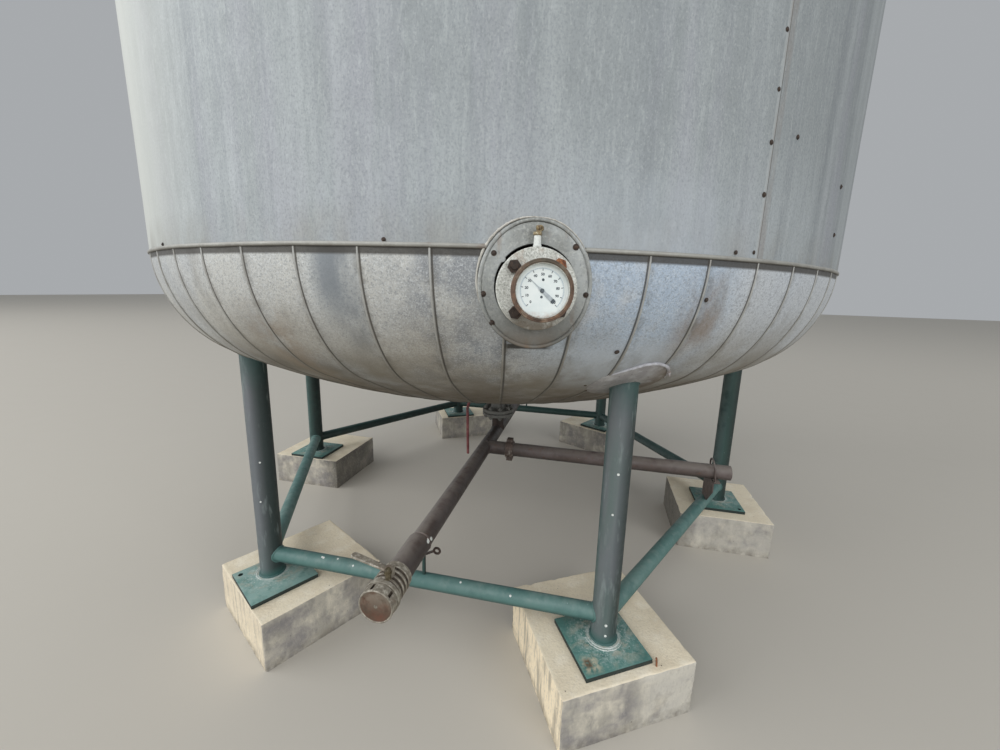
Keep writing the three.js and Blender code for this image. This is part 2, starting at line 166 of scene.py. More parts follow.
def turning(axis):
    return lambda angle: Matrix.Rotation(math.radians(angle), 4, axis)


turnX, turnY, turnZ = turning("X"), turning("Y"), turning("Z")


def shifted(x, y, z):
    return Matrix.Translation((x, y, z))


def placed(shape, *matrices):
    matrix = Matrix.Identity(4)
    for step in matrices:
        matrix = step @ matrix
    return [tuple(matrix @ Vector(p)) for p in shape[0]], shape[1]


def together(*shapes):
    points, faces = [], []
    for morePoints, moreFaces in shapes:
        faces += [[len(points) + i for i in f] for f in moreFaces]
        points += morePoints
    return points, faces


def linked(name, data):
    made = bpy.data.objects.new(name, data)
    bpy.context.scene.collection.objects.link(made)
    return made


def evaluated(piece):  # a plain mesh of a piece as its modifiers leave it
    return bpy.data.meshes.new_from_object(piece.evaluated_get(bpy.context.evaluated_depsgraph_get()))


def facedOutwards(mesh, weld=0):
    bm = bmesh.new()
    bm.from_mesh(mesh)
    if weld:
        bmesh.ops.remove_doubles(bm, verts=bm.verts, dist=weld)
    bmesh.ops.recalc_face_normals(bm, faces=bm.faces)
    bm.to_mesh(mesh)
    bm.free()


def settle(piece, node):  # every piece of this tank rides on its one body
    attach(piece, "root")
    if node:
        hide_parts(node)
    return piece


def makeObject(name, shape, material=None, sharpAngle=32):
    mesh = bpy.data.meshes.new(name)
    mesh.from_pydata([[c * mm for c in p] for p in shape[0]], [], shape[1])
    facedOutwards(mesh, 1e-6)
    if material:
        mesh.materials.append(material)
    mesh.shade_smooth()
    mesh.set_sharp_from_angle(angle=math.radians(sharpAngle))
    return linked(name, mesh)


def makePiece(name, shape, look, slotName, node=None, sharpAngle=32):
    return settle(makeObject(name, shape, finish[look], sharpAngle), node)


def drilled(piece, *cutters):  # cuts closed shapes out of a piece and leaves a plain mesh
    for shape in cutters:
        cutter = makeObject("cutter", shape)
        modifier = piece.modifiers.new("drill", "BOOLEAN")
        modifier.operation, modifier.solver, modifier.object = "DIFFERENCE", "EXACT", cutter
        mesh = evaluated(piece)
        piece.modifiers.clear()
        piece.data = mesh
        bpy.data.objects.remove(cutter)
    piece.data.set_sharp_from_angle(angle=math.radians(32))
    return piece


# tank geometry shared by several pieces
shellTop = tank["foot"] + tank["courses"] * tank["course"]
knuckleCentre = tank["radius"] - tank["knuckle"]
crownRise = math.sqrt((tank["crown"] - tank["knuckle"]) ** 2 - knuckleCentre ** 2)
turnover = math.asin(knuckleCentre / (tank["crown"] - tank["knuckle"]))


def dishArc(inset, knuckleSteps, crownSteps):  # (radius, depth below the rim) from rim to axis
    arc = []
    radius = tank["knuckle"] - inset
    for i in range(knuckleSteps + 1):
        angle = i / knuckleSteps * (math.pi / 2 - turnover)
        arc.append((knuckleCentre + radius * math.cos(angle), radius * math.sin(angle)))
    radius = tank["crown"] - inset
    for i in range(1, crownSteps + 1):
        angle = turnover * (1 - i / crownSteps)
        arc.append((radius * math.sin(angle), radius * math.cos(angle) - crownRise))
    return arc[:-1] + [(0, arc[-1][1])]


def dishFoot(radius):  # height of the bottom dish's outside at a radius
    radius = min(radius, tank["radius"])
    if radius > knuckleCentre + tank["knuckle"] * math.sin(turnover):
        return tank["foot"] - math.sqrt(tank["knuckle"] ** 2 - (radius - knuckleCentre) ** 2)
    return tank["foot"] - (math.sqrt(tank["crown"] ** 2 - radius ** 2) - crownRise)


def outsideRadius(height):  # outside radius of shell and bottom dish at a height
    depth = tank["foot"] - height
    if depth <= 0:
        return tank["radius"]
    if depth < tank["knuckle"] * math.cos(turnover):
        return knuckleCentre + math.sqrt(tank["knuckle"] ** 2 - depth ** 2)
    return math.sqrt(max(0, tank["crown"] ** 2 - (depth + crownRise) ** 2))


# finishes
def maskSocket(tree, place, kind, numbers):  # one mask, 0 to 1, from its kind and numbers
    size, second = numbers[:2]
    low, high = numbers[-2:]
    value = place.get(kind, place["azimuth"])
    chains = {  # what is done to the azimuth, step by step
        "around": [("SUBTRACT", size), ("ABSOLUTE", 0)],
        "gore": [("ADD", 360 - tank["firstSeam"]), ("DIVIDE", 6), ("FLOOR", 0), ("ADD", size)],
        "lap": [("ADD", 405 - tank["firstLap"]), ("MODULO", 90),
                ("SUBTRACT", 45 + math.degrees(second / tank["radius"])), ("ABSOLUTE", 0)],
        "leg": [("ADD", 360), ("MODULO", 60), ("SUBTRACT", 30), ("RADIANS", 0)],
        "seam": [("ADD", 363 - tank["firstSeam"]), ("MODULO", 6), ("SUBTRACT", 3), ("MULTIPLY", place["centre"]),
                 ("SUBTRACT", math.degrees(second * mm)), ("ABSOLUTE", 0)],
    }
    for operation, number in chains.get(kind, []):
        value = add(tree, "ShaderNodeMath", {0: value, 1: number}, operation=operation)
    if kind == "grain":  # cloudy noise: size, upright stretch, from, to
        scale = 1000 / size
        spots = add(tree, "ShaderNodeMapping", {"Vector": place["at"], "Location": (size % 7, size % 3, 1.3),
                    "Scale": (scale, scale, scale * second)})
        value = add(tree, "ShaderNodeTexNoise", {"Vector": spots, "Scale": 1.0, "Detail": 4.0, "Roughness": 0.6})
    elif kind in ("cells", "spots"):  # spangle: size, from, to; or round spots: spacing, radius and share of cells
        cell = add(tree, "ShaderNodeTexVoronoi", {"Vector": place["at"], "Scale": 1000 / size}).outputs
        value = cell["Color"]
        if kind == "spots":
            near = add(tree, "ShaderNodeMapRange", {0: cell["Distance"], 1: second, 2: second * 0.7})
            red = add(tree, "ShaderNodeSeparateColor", {0: value})
            some = add(tree, "ShaderNodeMath", {0: red, 1: high}, operation="LESS_THAN")
            return add(tree, "ShaderNodeMath", {0: near, 1: some}, operation="MULTIPLY")
    elif kind == "towards":  # how far the surface looks to an azimuth: azimuth, from, to
        value = add(tree, "ShaderNodeVectorMath", {0: place["normal"], 1: polar(1, size)},
                    operation="DOT_PRODUCT").outputs[1]
    elif kind == "around":  # azimuth: middle, half width, soft edge
        low, high = second + numbers[2], second
    elif kind == "gore":  # a tone for each gore: seed, from, to
        value = add(tree, "ShaderNodeTexWhiteNoise", {"W": value}, noise_dimensions="1D")
    elif kind == "lap":  # near an upright lap of the shell: half width, offset
        low, high = math.degrees(size / tank["radius"]) * 1.5, math.degrees(size / tank["radius"])
    elif kind == "seam":  # near a gore seam: half width, offset to the right
        low, high = math.degrees(size * mm), math.degrees(size * mm) * 0.3
    elif kind == "leg":  # distance from the nearest leg's axis: from, to
        sine = add(tree, "ShaderNodeMath", {0: value}, operation="SINE")
        cosine = add(tree, "ShaderNodeMath", {0: value}, operation="COSINE")
        across = add(tree, "ShaderNodeMath", {0: sine, 1: place["centre"]}, operation="MULTIPLY")
        along = add(tree, "ShaderNodeMath", {0: cosine, 1: place["centre"], 2: -tank["legCircle"] * mm},
                    operation="MULTIPLY_ADD")
        flat = add(tree, "ShaderNodeCombineXYZ", {0: across, 1: along})
        value = add(tree, "ShaderNodeVectorMath", {0: flat}, operation="LENGTH").outputs["Value"]
    if kind in ("height", "centre", "leg"):  # height, or distance from the tank's or a leg's axis: from, to
        low, high = low * mm, high * mm
    return add(tree, "ShaderNodeMapRange", {0: value, 1: low, 2: high})


def makeFinish(name, look):
    material = bpy.data.materials.new(name)
    material.use_nodes = True
    tree = material.node_tree
    tree.nodes.clear()
    at = add(tree, "ShaderNodeTexCoord").outputs["Object"]
    parts = add(tree, "ShaderNodeSeparateXYZ", {0: at}).outputs
    across = add(tree, "ShaderNodeMath", {0: parts[1], 1: -1.0}, operation="MULTIPLY")
    angle = add(tree, "ShaderNodeMath", {0: parts[0], 1: across}, operation="ARCTAN2")
    flat = add(tree, "ShaderNodeCombineXYZ", {0: parts[0], 1: parts[1]})
    normal = add(tree, "ShaderNodeNewGeometry").outputs["Normal"]
    place = {  # azimuth, distance from the axis, height and upward part of the normal at each point
        "at": at, "height": parts[2], "normal": normal,
        "azimuth": add(tree, "ShaderNodeMath", {0: angle}, operation="DEGREES"),
        "centre": add(tree, "ShaderNodeVectorMath", {0: flat}, operation="LENGTH").outputs["Value"],
        "facing": add(tree, "ShaderNodeSeparateXYZ", {0: normal}).outputs[2],
    }

    def masked(amount, words):  # the amount times each mask that the words name
        value, masks = float(amount), []
        for word in words:
            if word.isalpha():
                masks.append((word, []))
            else:
                masks[-1][1].append(float(word))
        for kind, numbers in masks:
            one = maskSocket(tree, place, kind, numbers)
            value = add(tree, "ShaderNodeMath", {0: one, 1: value}, operation="MULTIPLY")
        return value

    (base, metal, low, high, size), *rows = [line.split() for line in look.split("\n")]
    colour, metal, bump = linear(base), float(metal), {}
    for mark, *words in rows:
        if mark == "bump":
            bump["Normal"] = add(tree, "ShaderNodeBump", {"Height": masked(1, words[2:]), **bump,
                                 "Distance": float(words[0]) * mm, "Strength": float(words[1])})
            continue
        code, amount, *words = words if mark == "rust" else [mark, *words]
        cover = masked(amount, words)
        colour = add(tree, "ShaderNodeMix", {0: cover, 6: colour, 7: linear(code)}, data_type="RGBA").outputs[2]
        if mark == "rust" and metal:  # rust hides the metal as well as its colour
            metal = add(tree, "ShaderNodeMix", {0: cover, 2: metal, 3: 0.0}, data_type="FLOAT")
    grain = maskSocket(tree, place, "grain", [float(size), 1, 0.35, 0.65])
    rough = add(tree, "ShaderNodeMapRange", {0: grain, 3: float(low), 4: float(high)})
    surface = {"Base Color": colour, "Metallic": metal, "Roughness": rough, **bump}
    add(tree, "ShaderNodeOutputMaterial", {0: add(tree, "ShaderNodeBsdfPrincipled", surface)})
    return material


# A look's first line is its base colour, metallic, roughness from and to, and the roughness's grain. Each
# further line lays a colour over it, in an amount times its masks. Lines of rust also hide the metal. Lines
# of bump give height and strength. Masks and their numbers are those of maskSocket.
looks = {
    # galvanised sheet, years outdoors: dull grey zinc bloom with rain streaks and fine spangle; a painted highlight
    # over its left side and a dark line of painted shadow along the edge of each upright lap
    "weatheredZincSheet": """979d9f 0.35 0.55 0.61 60
        b5bcc0 0.55 height 1860 1640 grain 300 0.4 0.25 0.5
        858b8e 0.6 grain 420 0.12 0.42 0.62
        adb3b5 0.65 grain 120 0.03 0.47 0.66
        80868b 0.4 grain 50 0.04 0.48 0.68
        a2a3ad 0.4 grain 190 0.1 0.5 0.64
        828a8c 0.25 grain 16 0.1 0.48 0.68
        bcc2c3 0.3 grain 9 0.2 0.52 0.7
        cacece 0.25 grain 5 0.7 0.55 0.72
        747a7e 0.45 grain 4.5 0.7 0.47 0.7
        d3d6d0 0.75 around -58 27 16
        8f8d86 0.5 height 1620 1530 grain 90 0.4 0.4 0.65
        bcc5cf 0.4 around 26 5 8 height 1740 1540 grain 130 0.3 0.3 0.6
        c4c8c8 0.3 lap 4 -6
        4b4a47 0.85 lap 1.8 1
        8a8078 0.4 lap 12 9 grain 60 0.3 0.42 0.6
        bump 0.8 0.25 grain 8 1 0.3 0.7
        bump 1 0.15 grain 380 0.1 0.3 0.7""",
    # the same sheet cut into gores: large spangle, blue where rain washes it, browner and darker down the dish with
    # dust, painted shade and a painted reflection of the ground
    # painted highlight over its left side, painted shadow under the collar and under the band, and a line of painted
    # shade beside each rib on its side away from the front
    "spangledZincGores": """bdbcb7 0.3 0.5 0.62 50
        d6d6d0 0.7 around -60 34 14
        bfc2c2 0.7 gore 3 0.35 1
        9d9e9b 0.7 gore 41 0.5 1
        dadad4 0.5 around -22 3 3 height 1240 1350 height 1600 1550
        a0a6ae 0.6 grain 260 0.35 0.5 0.66
        c6ccd3 0.8 around 44 22 14 height 1090 1280 height 1600 1550
        abbccf 0.85 around 26 6.5 5 height 1110 1300 height 1600 1550 grain 160 1 0.28 0.46
        cbcdca 0.5 around -3 13 8 height 1300 1440 height 1600 1550
        7f848b 0.7 around 10.5 3.5 4 height 1600 1550 grain 90 1 0.42 0.58
        dfe5e9 0.5 cells 2.6 0.5 0.95
        6e747b 0.5 cells 3.1 0.55 0.95
        74797f 0.35 grain 9 1 0.53 0.68
        7d848b 0.85 around -1.3 0.6 1.7 height 1290 1420 height 1600 1550 grain 70 0.3 0.25 0.5
        747a80 0.7 around 0.1 0.5 1.5 height 1130 1290 height 1600 1550 grain 60 0.3 0.25 0.55
        8c8577 0.85 height 1400 1180 grain 200 1 0.3 0.6
        695e4d 0.9 height 1270 1070 grain 160 1 0.22 0.5
        4b4133 0.9 height 1130 930 grain 120 1 0.2 0.5
        bcc3ca 0.6 around 25 3.5 4 height 1130 1200 height 1330 1270 grain 90 1 0.25 0.5
        5d564a 0.4 around -12 7 6 height 1260 1190 grain 120 1 0.3 0.55
        887560 0.7 around 32.6 1 2.8 height 1235 1330 height 1500 1420 grain 90 0.5 0.34 0.58
        8c7b66 0.5 around -10.5 1.5 3 height 1400 1310 grain 90 1 0.42 0.6
        6d675d 0.3 grain 110 0.25 0.58 0.72
        2c2823 0.9 around 15.8 1.7 0.8 height 1299 1296 height 1282 1287
        3a3630 0.9 seam 3.6 5.2 around -42 56 3 grain 90 1 0.1 0.35
        3a3630 0.9 seam 3.6 -5.2 around 74 56 3 grain 90 1 0.1 0.35
        5f5a51 0.45 seam 22 4 grain 35 1 0.42 0.65
        3f3c37 0.9 height 1496 1502 height 1600 1550
        bump 0.9 0.3 grain 7 1 0.3 0.7
        bump 4 0.25 grain 300 1 0.3 0.7""",
    # gore seams, folded over and rubbed bright, darker and browner down the dish with dust and painted shade
    "foldedSeamZinc": """b3b4b1 0.3 0.45 0.62 30
        8f8d87 0.6 grain 60 1 0.45 0.62
        7c766b 0.8 height 1400 1180
        4d4539 0.85 height 1180 980
        bump 0.5 0.3 grain 6 1 0.3 0.7""",
    # sealant smeared along the patch's edge, greyed, rusty at its right end
    "smearedSealant": """b9bac0 0 0.6 0.8 10
        9a989c 0.6 grain 14 1 0.45 0.6
        6a5846 0.85 around 33.6 0.5 1.2 grain 9 1 0.3 0.55""",
    # patch of sheet beaten round the leg's head: dull, smeared and browned at its right end
    "beatenPatchZinc": """b0afaf 0.3 0.5 0.66 30
        8f8c8f 0.7 grain 60 1 0.42 0.6
        c0c2c5 0.6 grain 30 1 0.52 0.66
        6b5f50 0.9 around 33.4 0.8 2.4 grain 50 1 0.25 0.5
        6b6154 0.8 height 1190 1090 grain 80 1 0.25 0.55
        57514a 0.7 grain 14 1 0.6 0.7
        bump 1.5 0.4 grain 16 1 0.3 0.7""",
    # trim and swaged bands: the same zinc, with a painted highlight on the upward faces of the crests and painted shade
    # on the downward faces
    "paleZincTrim": """aaaaa4 0.35 0.45 0.62 40
        8b8983 0.8 grain 90 1 0.45 0.65
        c6c6c0 0.5 grain 12 1 0.52 0.7
        d0d0ca 0.5 facing 0 0.8
        84837d 0.4 height 1490 1500 height 1560 1548
        4f4b45 0.85 facing -0.3 -0.85
        rust 6d5140 0.5 grain 45 1 0.62 0.75
        bump 0.8 0.3 grain 6 1 0.3 0.7""",
    # port collar: darker zinc, stained towards its lower edge, with a painted highlight on faces that look left and
    # painted shade on downward faces
    "stainedZincCollar": """a9adac 0.35 0.45 0.65 40
        868884 0.8 grain 70 0.4 0.42 0.62
        c2c4bf 0.5 grain 8 1 0.5 0.66
        73767a 0.5 grain 6 1 0.54 0.7
        6a6a65 0.8 height 1440 1320
        75685a 0.7 height 1350 1298 grain 40 1 0.35 0.55
        cfd0cb 0.6 grain 16 1 0.5 0.6 towards -74 0.25 0.8
        2e2a26 0.9 facing -0.35 -0.75
        rust 7a6048 0.5 grain 30 0.3 0.6 0.74
        bump 0.8 0.3 grain 6 1 0.3 0.7
        bump 3 0.3 grain 90 1 0.3 0.7""",
    # old sealant pressed round the collar: chalky off-white, cracked and dusty, with painted shade on its downward
    # faces
    "chalkySealant": """c6c4bc 0 0.6 0.8 12
        a19e96 0.8 grain 18 1 0.45 0.6
        dedcd5 0.6 grain 8 1 0.52 0.66
        rust 6f675d 0.7 facing -0.1 -0.7
        bump 1 0.5 grain 5 1 0.3 0.7""",
    # chalked alkyd paint on the front legs: grey-violet where the weather bleached it, green in its lee, and near black
    # on the right sides as painted shade
    "chalkedLegPaint": """5b6967 0 0.45 0.65 30
        6c7174 0.7 grain 140 0.12 0.42 0.6
        435755 0.6 grain 60 0.1 0.5 0.68
        706e77 0.5 grain 210 0.3 0.42 0.56
        1b2c2a 0.88 towards 82 0.22 0.9
        345754 0.7 towards -95 0.72 1 height 300 500
        30524f 0.8 height 1020 1160 grain 90 0.3 0.2 0.5
        36645f 0.7 height 262 232
        8b9796 0.4 grain 26 0.2 0.58 0.7
        rust 4d3f38 0.6 spots 34 0.07 0.12
        bump 0.6 0.3 grain 5 1 0.3 0.7""",
    # the same paint on the legs, braces and posts under the tank: still dark green, and darker as painted shade;
    # painted lighter on the left sides, painted shade on the right sides and undersides
    "shelteredShadedGreenPaint": """2c4a46 0 0.42 0.62 30
        415d58 0.6 grain 120 0.2 0.45 0.65
        627474 0.75 towards -75 0.35 1
        142522 0.9 towards 75 0 0.8
        233f3c 0.6 grain 60 1 0.5 0.68
        1c2e2c 0.7 facing -0.1 -0.8
        8fa19c 0.6 spots 28 0.08 0.15
        bump 0.6 0.3 grain 5 1 0.3 0.7""",
    # the same paint on the front braces, half bleached along the top, with painted shade on the undersides
    "chalkedBracePaint": """4f7470 0 0.42 0.62 30
        718b86 0.6 grain 240 1 0.38 0.6 facing -0.2 0.6
        84958f 0.4 grain 45 1 0.5 0.66 facing 0.1 0.8
        3f6461 0.6 grain 60 1 0.48 0.68
        a8bab7 0.7 spots 24 0.07 0.22
        233c3b 0.8 facing 0 -0.8
        bump 0.6 0.3 grain 5 1 0.3 0.7""",
    # base plates: the same paint, with lime splashed round the foot of the leg, and sides near black as painted shade
    # along the edges
    "limedPlatePaint": """538079 0 0.45 0.7 25
        6f9690 0.6 grain 90 1 0.42 0.62
        37645f 0.6 grain 50 1 0.5 0.68
        9db8b2 0.6 around -45 20 6 grain 60 1 0.3 0.5 facing 0.2 0.9
        aebfba 0.7 grain 18 1 0.46 0.62 leg 140 60 facing 0.2 0.9
        cfd8d4 0.7 grain 7 1 0.54 0.64 leg 150 60 facing 0.2 0.9
        d5dbd6 0.6 grain 25 1 0.3 0.55 leg 66 56 facing 0.2 0.9
        b1aa98 0.5 grain 40 1 0.5 0.62 leg 170 80 facing 0.2 0.9
        bdb59e 0.75 around 26.1 0.7 0.8 centre 1435 1458 centre 1512 1490 grain 12 1 0.4 0.55 facing 0.2 0.9
        141a1a 0.92 facing 0.6 0.2
        rust 5f4c38 0.85 grain 70 1 0.7 0.74 leg 70 90
        rust 56432f 0.9 around 25.8 0.25 0.45 centre 1446 1460 centre 1492 1480 grain 12 1 0.36 0.5
        bump 0.8 0.3 grain 6 1 0.3 0.7""",
    # cast concrete: trowelled cream top, painted lighter still as light from above, grey form-struck sides with bug
    # holes; painted light on the left faces of the front plinths and painted shade on the faces under the tank and on
    # the back plinths
    "castConcrete": """b5b0a4 0 0.8 0.95 30
        908c84 0.7 grain 190 0.8 0.42 0.6
        dcd5c4 0.6 grain 60 0.5 0.46 0.62
        84827f 0.55 grain 42 0.6 0.53 0.68
        77757b 0.65 grain 130 1.6 0.44 0.66
        cfcbc0 0.75 around 40 6 4 grain 70 1 0.3 0.5
        c9c5ba 0.6 around 84 13 6 grain 70 1 0.3 0.55
        4a463f 0.6 centre 1220 1020
        48443c 0.6 centre 1260 1130 around 0 80 -10
        4a463d 0.5 centre 1290 1180 around 0 140 -10
        ffefd0 0.95 towards -75 0.3 0.9 around -10 60 20
        827e77 0.6 towards -75 0.3 0.9 grain 30 0.12 0.5 0.62
        aaa79f 0.4 grain 9 0.5 0.52 0.66
        f4e8ce 0.95 facing 0.35 0.9
        dccdb2 0.5 facing 0.4 0.9 grain 120 1 0.45 0.65
        fbf3e0 0.6 facing 0.4 0.9 grain 70 1 0.5 0.68
        d6cbb6 0.45 facing 0.4 0.9 grain 9 1 0.52 0.66
        6e685e 0.65 height 45 0 grain 40 1 0.36 0.6
        3c3934 0.9 spots 22 0.09 0.1
        bump 1.5 0.5 grain 8 1 0.3 0.7
        bump 3 0.6 spots 22 0.11 0.1
        bump 2 0.4 grain 45 0.3 0.3 0.7""",
    # red-brown primer gone grey and brown-purple over rust; painted light on its top, its left side and far out from
    # under the tank, painted shade on its right side, its underside and under the middle of the tank
    "agedPipePrimer": """5c514d 0 0.4 0.58 25
        6f6564 0.7 grain 120 1 0.42 0.62
        4a3e3b 0.7 grain 60 1 0.5 0.66
        8f8982 0.6 facing 0.3 1 grain 60 1 0.36 0.56
        6a4c3d 0.5 grain 30 1 0.58 0.7
        8b8884 0.6 towards -90 0 0.8 facing 0.1 0.7 centre 250 500
        2b2523 0.65 towards 95 0.15 0.9 centre 250 500
        2a2422 0.75 facing -0.15 -0.85
        a7a298 0.7 spots 32 0.06 0.12
        231f1d 0.75 centre 620 150
        938c85 0.55 centre 800 1150 towards -60 -0.2 0.8 facing 0 0.9
        bump 0.6 0.3 grain 5 1 0.3 0.7
        bump 1.2 0.25 grain 30 1 0.4 0.7""",
    # outlet flanges: dull grey-green paint, dark on downward faces as painted shade, black in the joint
    "dullFlangePaint": """6a6a66 0 0.5 0.7 20
        75756f 0.7 grain 40 1 0.45 0.6
        3c3a36 0.7 grain 22 1 0.5 0.64
        a5a79f 0.5 facing 0.5 1 grain 12 1 0.45 0.6
        25211f 0.7 facing -0.2 -0.9
        bump 0.6 0.3 grain 5 1 0.3 0.7""",
    # cast fittings: grey iron under lime, brown in the grooves, with painted shade on the downward faces
    "limedCastIron": """837c70 0.2 0.5 0.7 15
        aaa598 0.7 grain 22 1 0.45 0.6
        5f574c 0.6 grain 30 1 0.52 0.66
        cfcabd 0.6 grain 10 1 0.52 0.64 facing -0.2 0.6
        3a332c 0.7 facing -0.15 -0.9
        rust 6b4c3a 0.4 grain 40 1 0.6 0.72
        bump 0.5 0.3 grain 5 1 0.3 0.7""",
    # bottoms of the grooves and holes: dirt and brown rust, darkened as painted shade
    "groovedDirtAndShade": """4b4339 0 0.7 0.9 8
        5c5144 0.7 grain 12 1 0.45 0.6
        241f1b 0.6 grain 9 1 0.5 0.64""",
    # face of the blank cap: brown skin of old paint, greyer towards its top
    "rustedCapFace": """514032 0 0.55 0.75 15
        5d3b2a 0.7 grain 36 1 0.45 0.6
        3f3023 0.6 grain 20 1 0.5 0.64
        82786b 0.9 height 490 560 grain 45 1 0.36 0.52
        694233 0.5 height 520 490 grain 26 1 0.4 0.6
        bump 0.4 0.3 grain 4 1 0.3 0.7""",
    # port flange: pale grey paint speckled with dirt
    "speckledFlangePaint": """cdcfc8 0.1 0.5 0.7 10
        989a93 0.7 grain 4 1 0.5 0.6
        5d5850 0.6 grain 6 1 0.61 0.68
        eceee9 0.7 grain 5 1 0.53 0.62
        a88e76 0.6 grain 40 1 0.56 0.7
        6f6557 0.9 height 1392 1352 grain 30 1 0.25 0.5
        bump 0.8 0.5 grain 4 1 0.3 0.7""",
    # rusted steel: the thermometer's ring
    "rustedSteel": """6b5547 0.1 0.6 0.8 8
        463930 0.8 grain 26 1 0.45 0.62
        8a6a52 0.7 grain 14 1 0.52 0.66
        a39684 0.6 grain 22 1 0.56 0.7
        5b584d 0.7 height 1440 1490 grain 30 1 0.3 0.5
        bump 0.8 0.5 grain 3 1 0.3 0.7""",
    # fresh orange rust: one nut of the port and the nail
    "orangeRust": """86553a 0 0.7 0.9 6
        b07a52 0.7 grain 10 1 0.48 0.6
        4c3023 0.8 grain 8 1 0.5 0.62
        bump 0.8 0.5 grain 3 1 0.3 0.7""",
    # the same primer, black and red-brown in the tank's shadow
    "darkPipePrimer": """2e231d 0 0.5 0.7 20
        44322b 0.7 grain 50 1 0.45 0.62
        231c1a 0.7 grain 30 1 0.5 0.66
        bump 0.6 0.3 grain 5 1 0.3 0.7""",
    # branch coupling: cast iron, brown with rust, lime left where it has dripped
    "rustedCouplingIron": """4c403a 0 0.6 0.8 10
        5d4d45 0.7 grain 30 1 0.45 0.62
        2f2723 0.7 grain 18 1 0.5 0.64
        9c968c 0.7 grain 12 0.4 0.52 0.62 facing 0.6 -0.2
        bump 0.8 0.4 grain 5 1 0.3 0.7""",
    # rain-blackened nuts and screw heads
    "blackenedSteel": """40352e 0.1 0.6 0.8 6
        292320 0.8 grain 9 1 0.45 0.62
        665041 0.6 grain 6 1 0.54 0.66
        bump 0.6 0.5 grain 3 1 0.3 0.7""",
    # stove-enamelled dial, browned at its lower edge
    "whiteDialEnamel": """eaf1f0 0 0.3 0.42 20
        d8e4e5 0.5 grain 30 1 0.45 0.65
        b39a86 0.7 height 1389 1378 grain 12 1 0.3 0.6""",
    # dial figures and long marks: faded black print
    "fadedDialPrint": """4b545a 0 0.4 0.5 10
        6c777e 0.6 grain 6 1 0.5 0.62""",
    # fine marks: pale blue print
    "paleDialPrint": """8da3b4 0 0.4 0.5 10
        a9bac5 0.6 grain 6 1 0.45 0.6""",
    # needle: grey lacquer gone pale
    "paleNeedleLacquer": """b5bec3 0 0.35 0.5 10
        9ca6ac 0.6 grain 8 1 0.45 0.6""",
    # clamp bolt of the cap: greenish brown, greasy
    "dullOliveBolt": """534a36 0.1 0.45 0.65 8
        3f3828 0.7 grain 9 1 0.45 0.6
        9a9176 0.5 grain 6 1 0.55 0.68""",
    # brass with lime: vent plug's nut
    "limedBrass": """8d7c5c 0.45 0.4 0.6 8
        cfc8ae 0.7 grain 10 1 0.48 0.6
        54453a 0.8 grain 7 1 0.5 0.62
        bump 0.6 0.4 grain 3 1 0.3 0.7""",
    # faded red-brown primer on the drain tube
    "fadedRedPrimer": """7c4144 0 0.5 0.7 12
        94605e 0.6 grain 40 1 0.45 0.65
        502a2b 0.7 grain 25 1 0.52 0.68
        bump 0.4 0.4 grain 4 1 0.3 0.7""",
    # lime and splashed white paint
    "driedLime": """dfe3df 0 0.7 0.9 6
        b6bab5 0.5 grain 5 1 0.5 0.64""",
    # mineral wool behind the port, black with damp and darkened as painted shade in the recess; also the outlet's
    # gasket
    "blackPackingAndShade": """191716 0 0.85 0.95 6
        2c2722 0.6 grain 8 1 0.5 0.65""",
}
finish = {name: makeFinish(name, look) for name, look in looks.items()}
print("finishes:", len(finish))


# geometry nodes: things that repeat
def newTree(name, inputs):
    tree = bpy.data.node_groups.new(name, "GeometryNodeTree")
    every = {"Geometry": ("Geometry", None), **inputs, "Finish": ("Material", None)}
    for label, (kind, value) in every.items():
        socket = tree.interface.new_socket(name=label, in_out="INPUT", socket_type="NodeSocket" + kind)
        if value is not None:
            socket.default_value = value
    tree.interface.new_socket(name="Geometry", in_out="OUTPUT", socket_type="NodeSocketGeometry")
    return tree, add(tree, "NodeGroupInput").outputs


def closeTree(tree, geometry, given):  # every tree ends in real geometry with its finish
    if "Turn" in given:
        geometry = add(tree, "GeometryNodeTransform", {"Geometry": geometry, "Translation": given["Place"],
                       "Rotation": given["Turn"]})
    real = add(tree, "GeometryNodeRealizeInstances", {0: geometry})
    done = add(tree, "GeometryNodeSetMaterial", {0: real, "Material": given["Finish"]})
    add(tree, "NodeGroupOutput", {0: done})
    return tree


def fanned(tree, copy, count, parts, sweep=math.tau, start=0.0):  # copies turned about Z, a part of the sweep apart
    spots = add(tree, "GeometryNodeMeshLine", {"Count": count, "Offset": (0, 0, 0)})
    index = add(tree, "GeometryNodeInputIndex")
    share = add(tree, "ShaderNodeMath", {0: index, 1: parts}, operation="DIVIDE")
    angle = add(tree, "ShaderNodeMath", {0: share, 1: sweep, 2: start}, operation="MULTIPLY_ADD")
    turn = add(tree, "ShaderNodeCombineXYZ", {2: angle})
    return add(tree, "GeometryNodeInstanceOnPoints", {"Points": spots, "Instance": copy, "Rotation": turn})


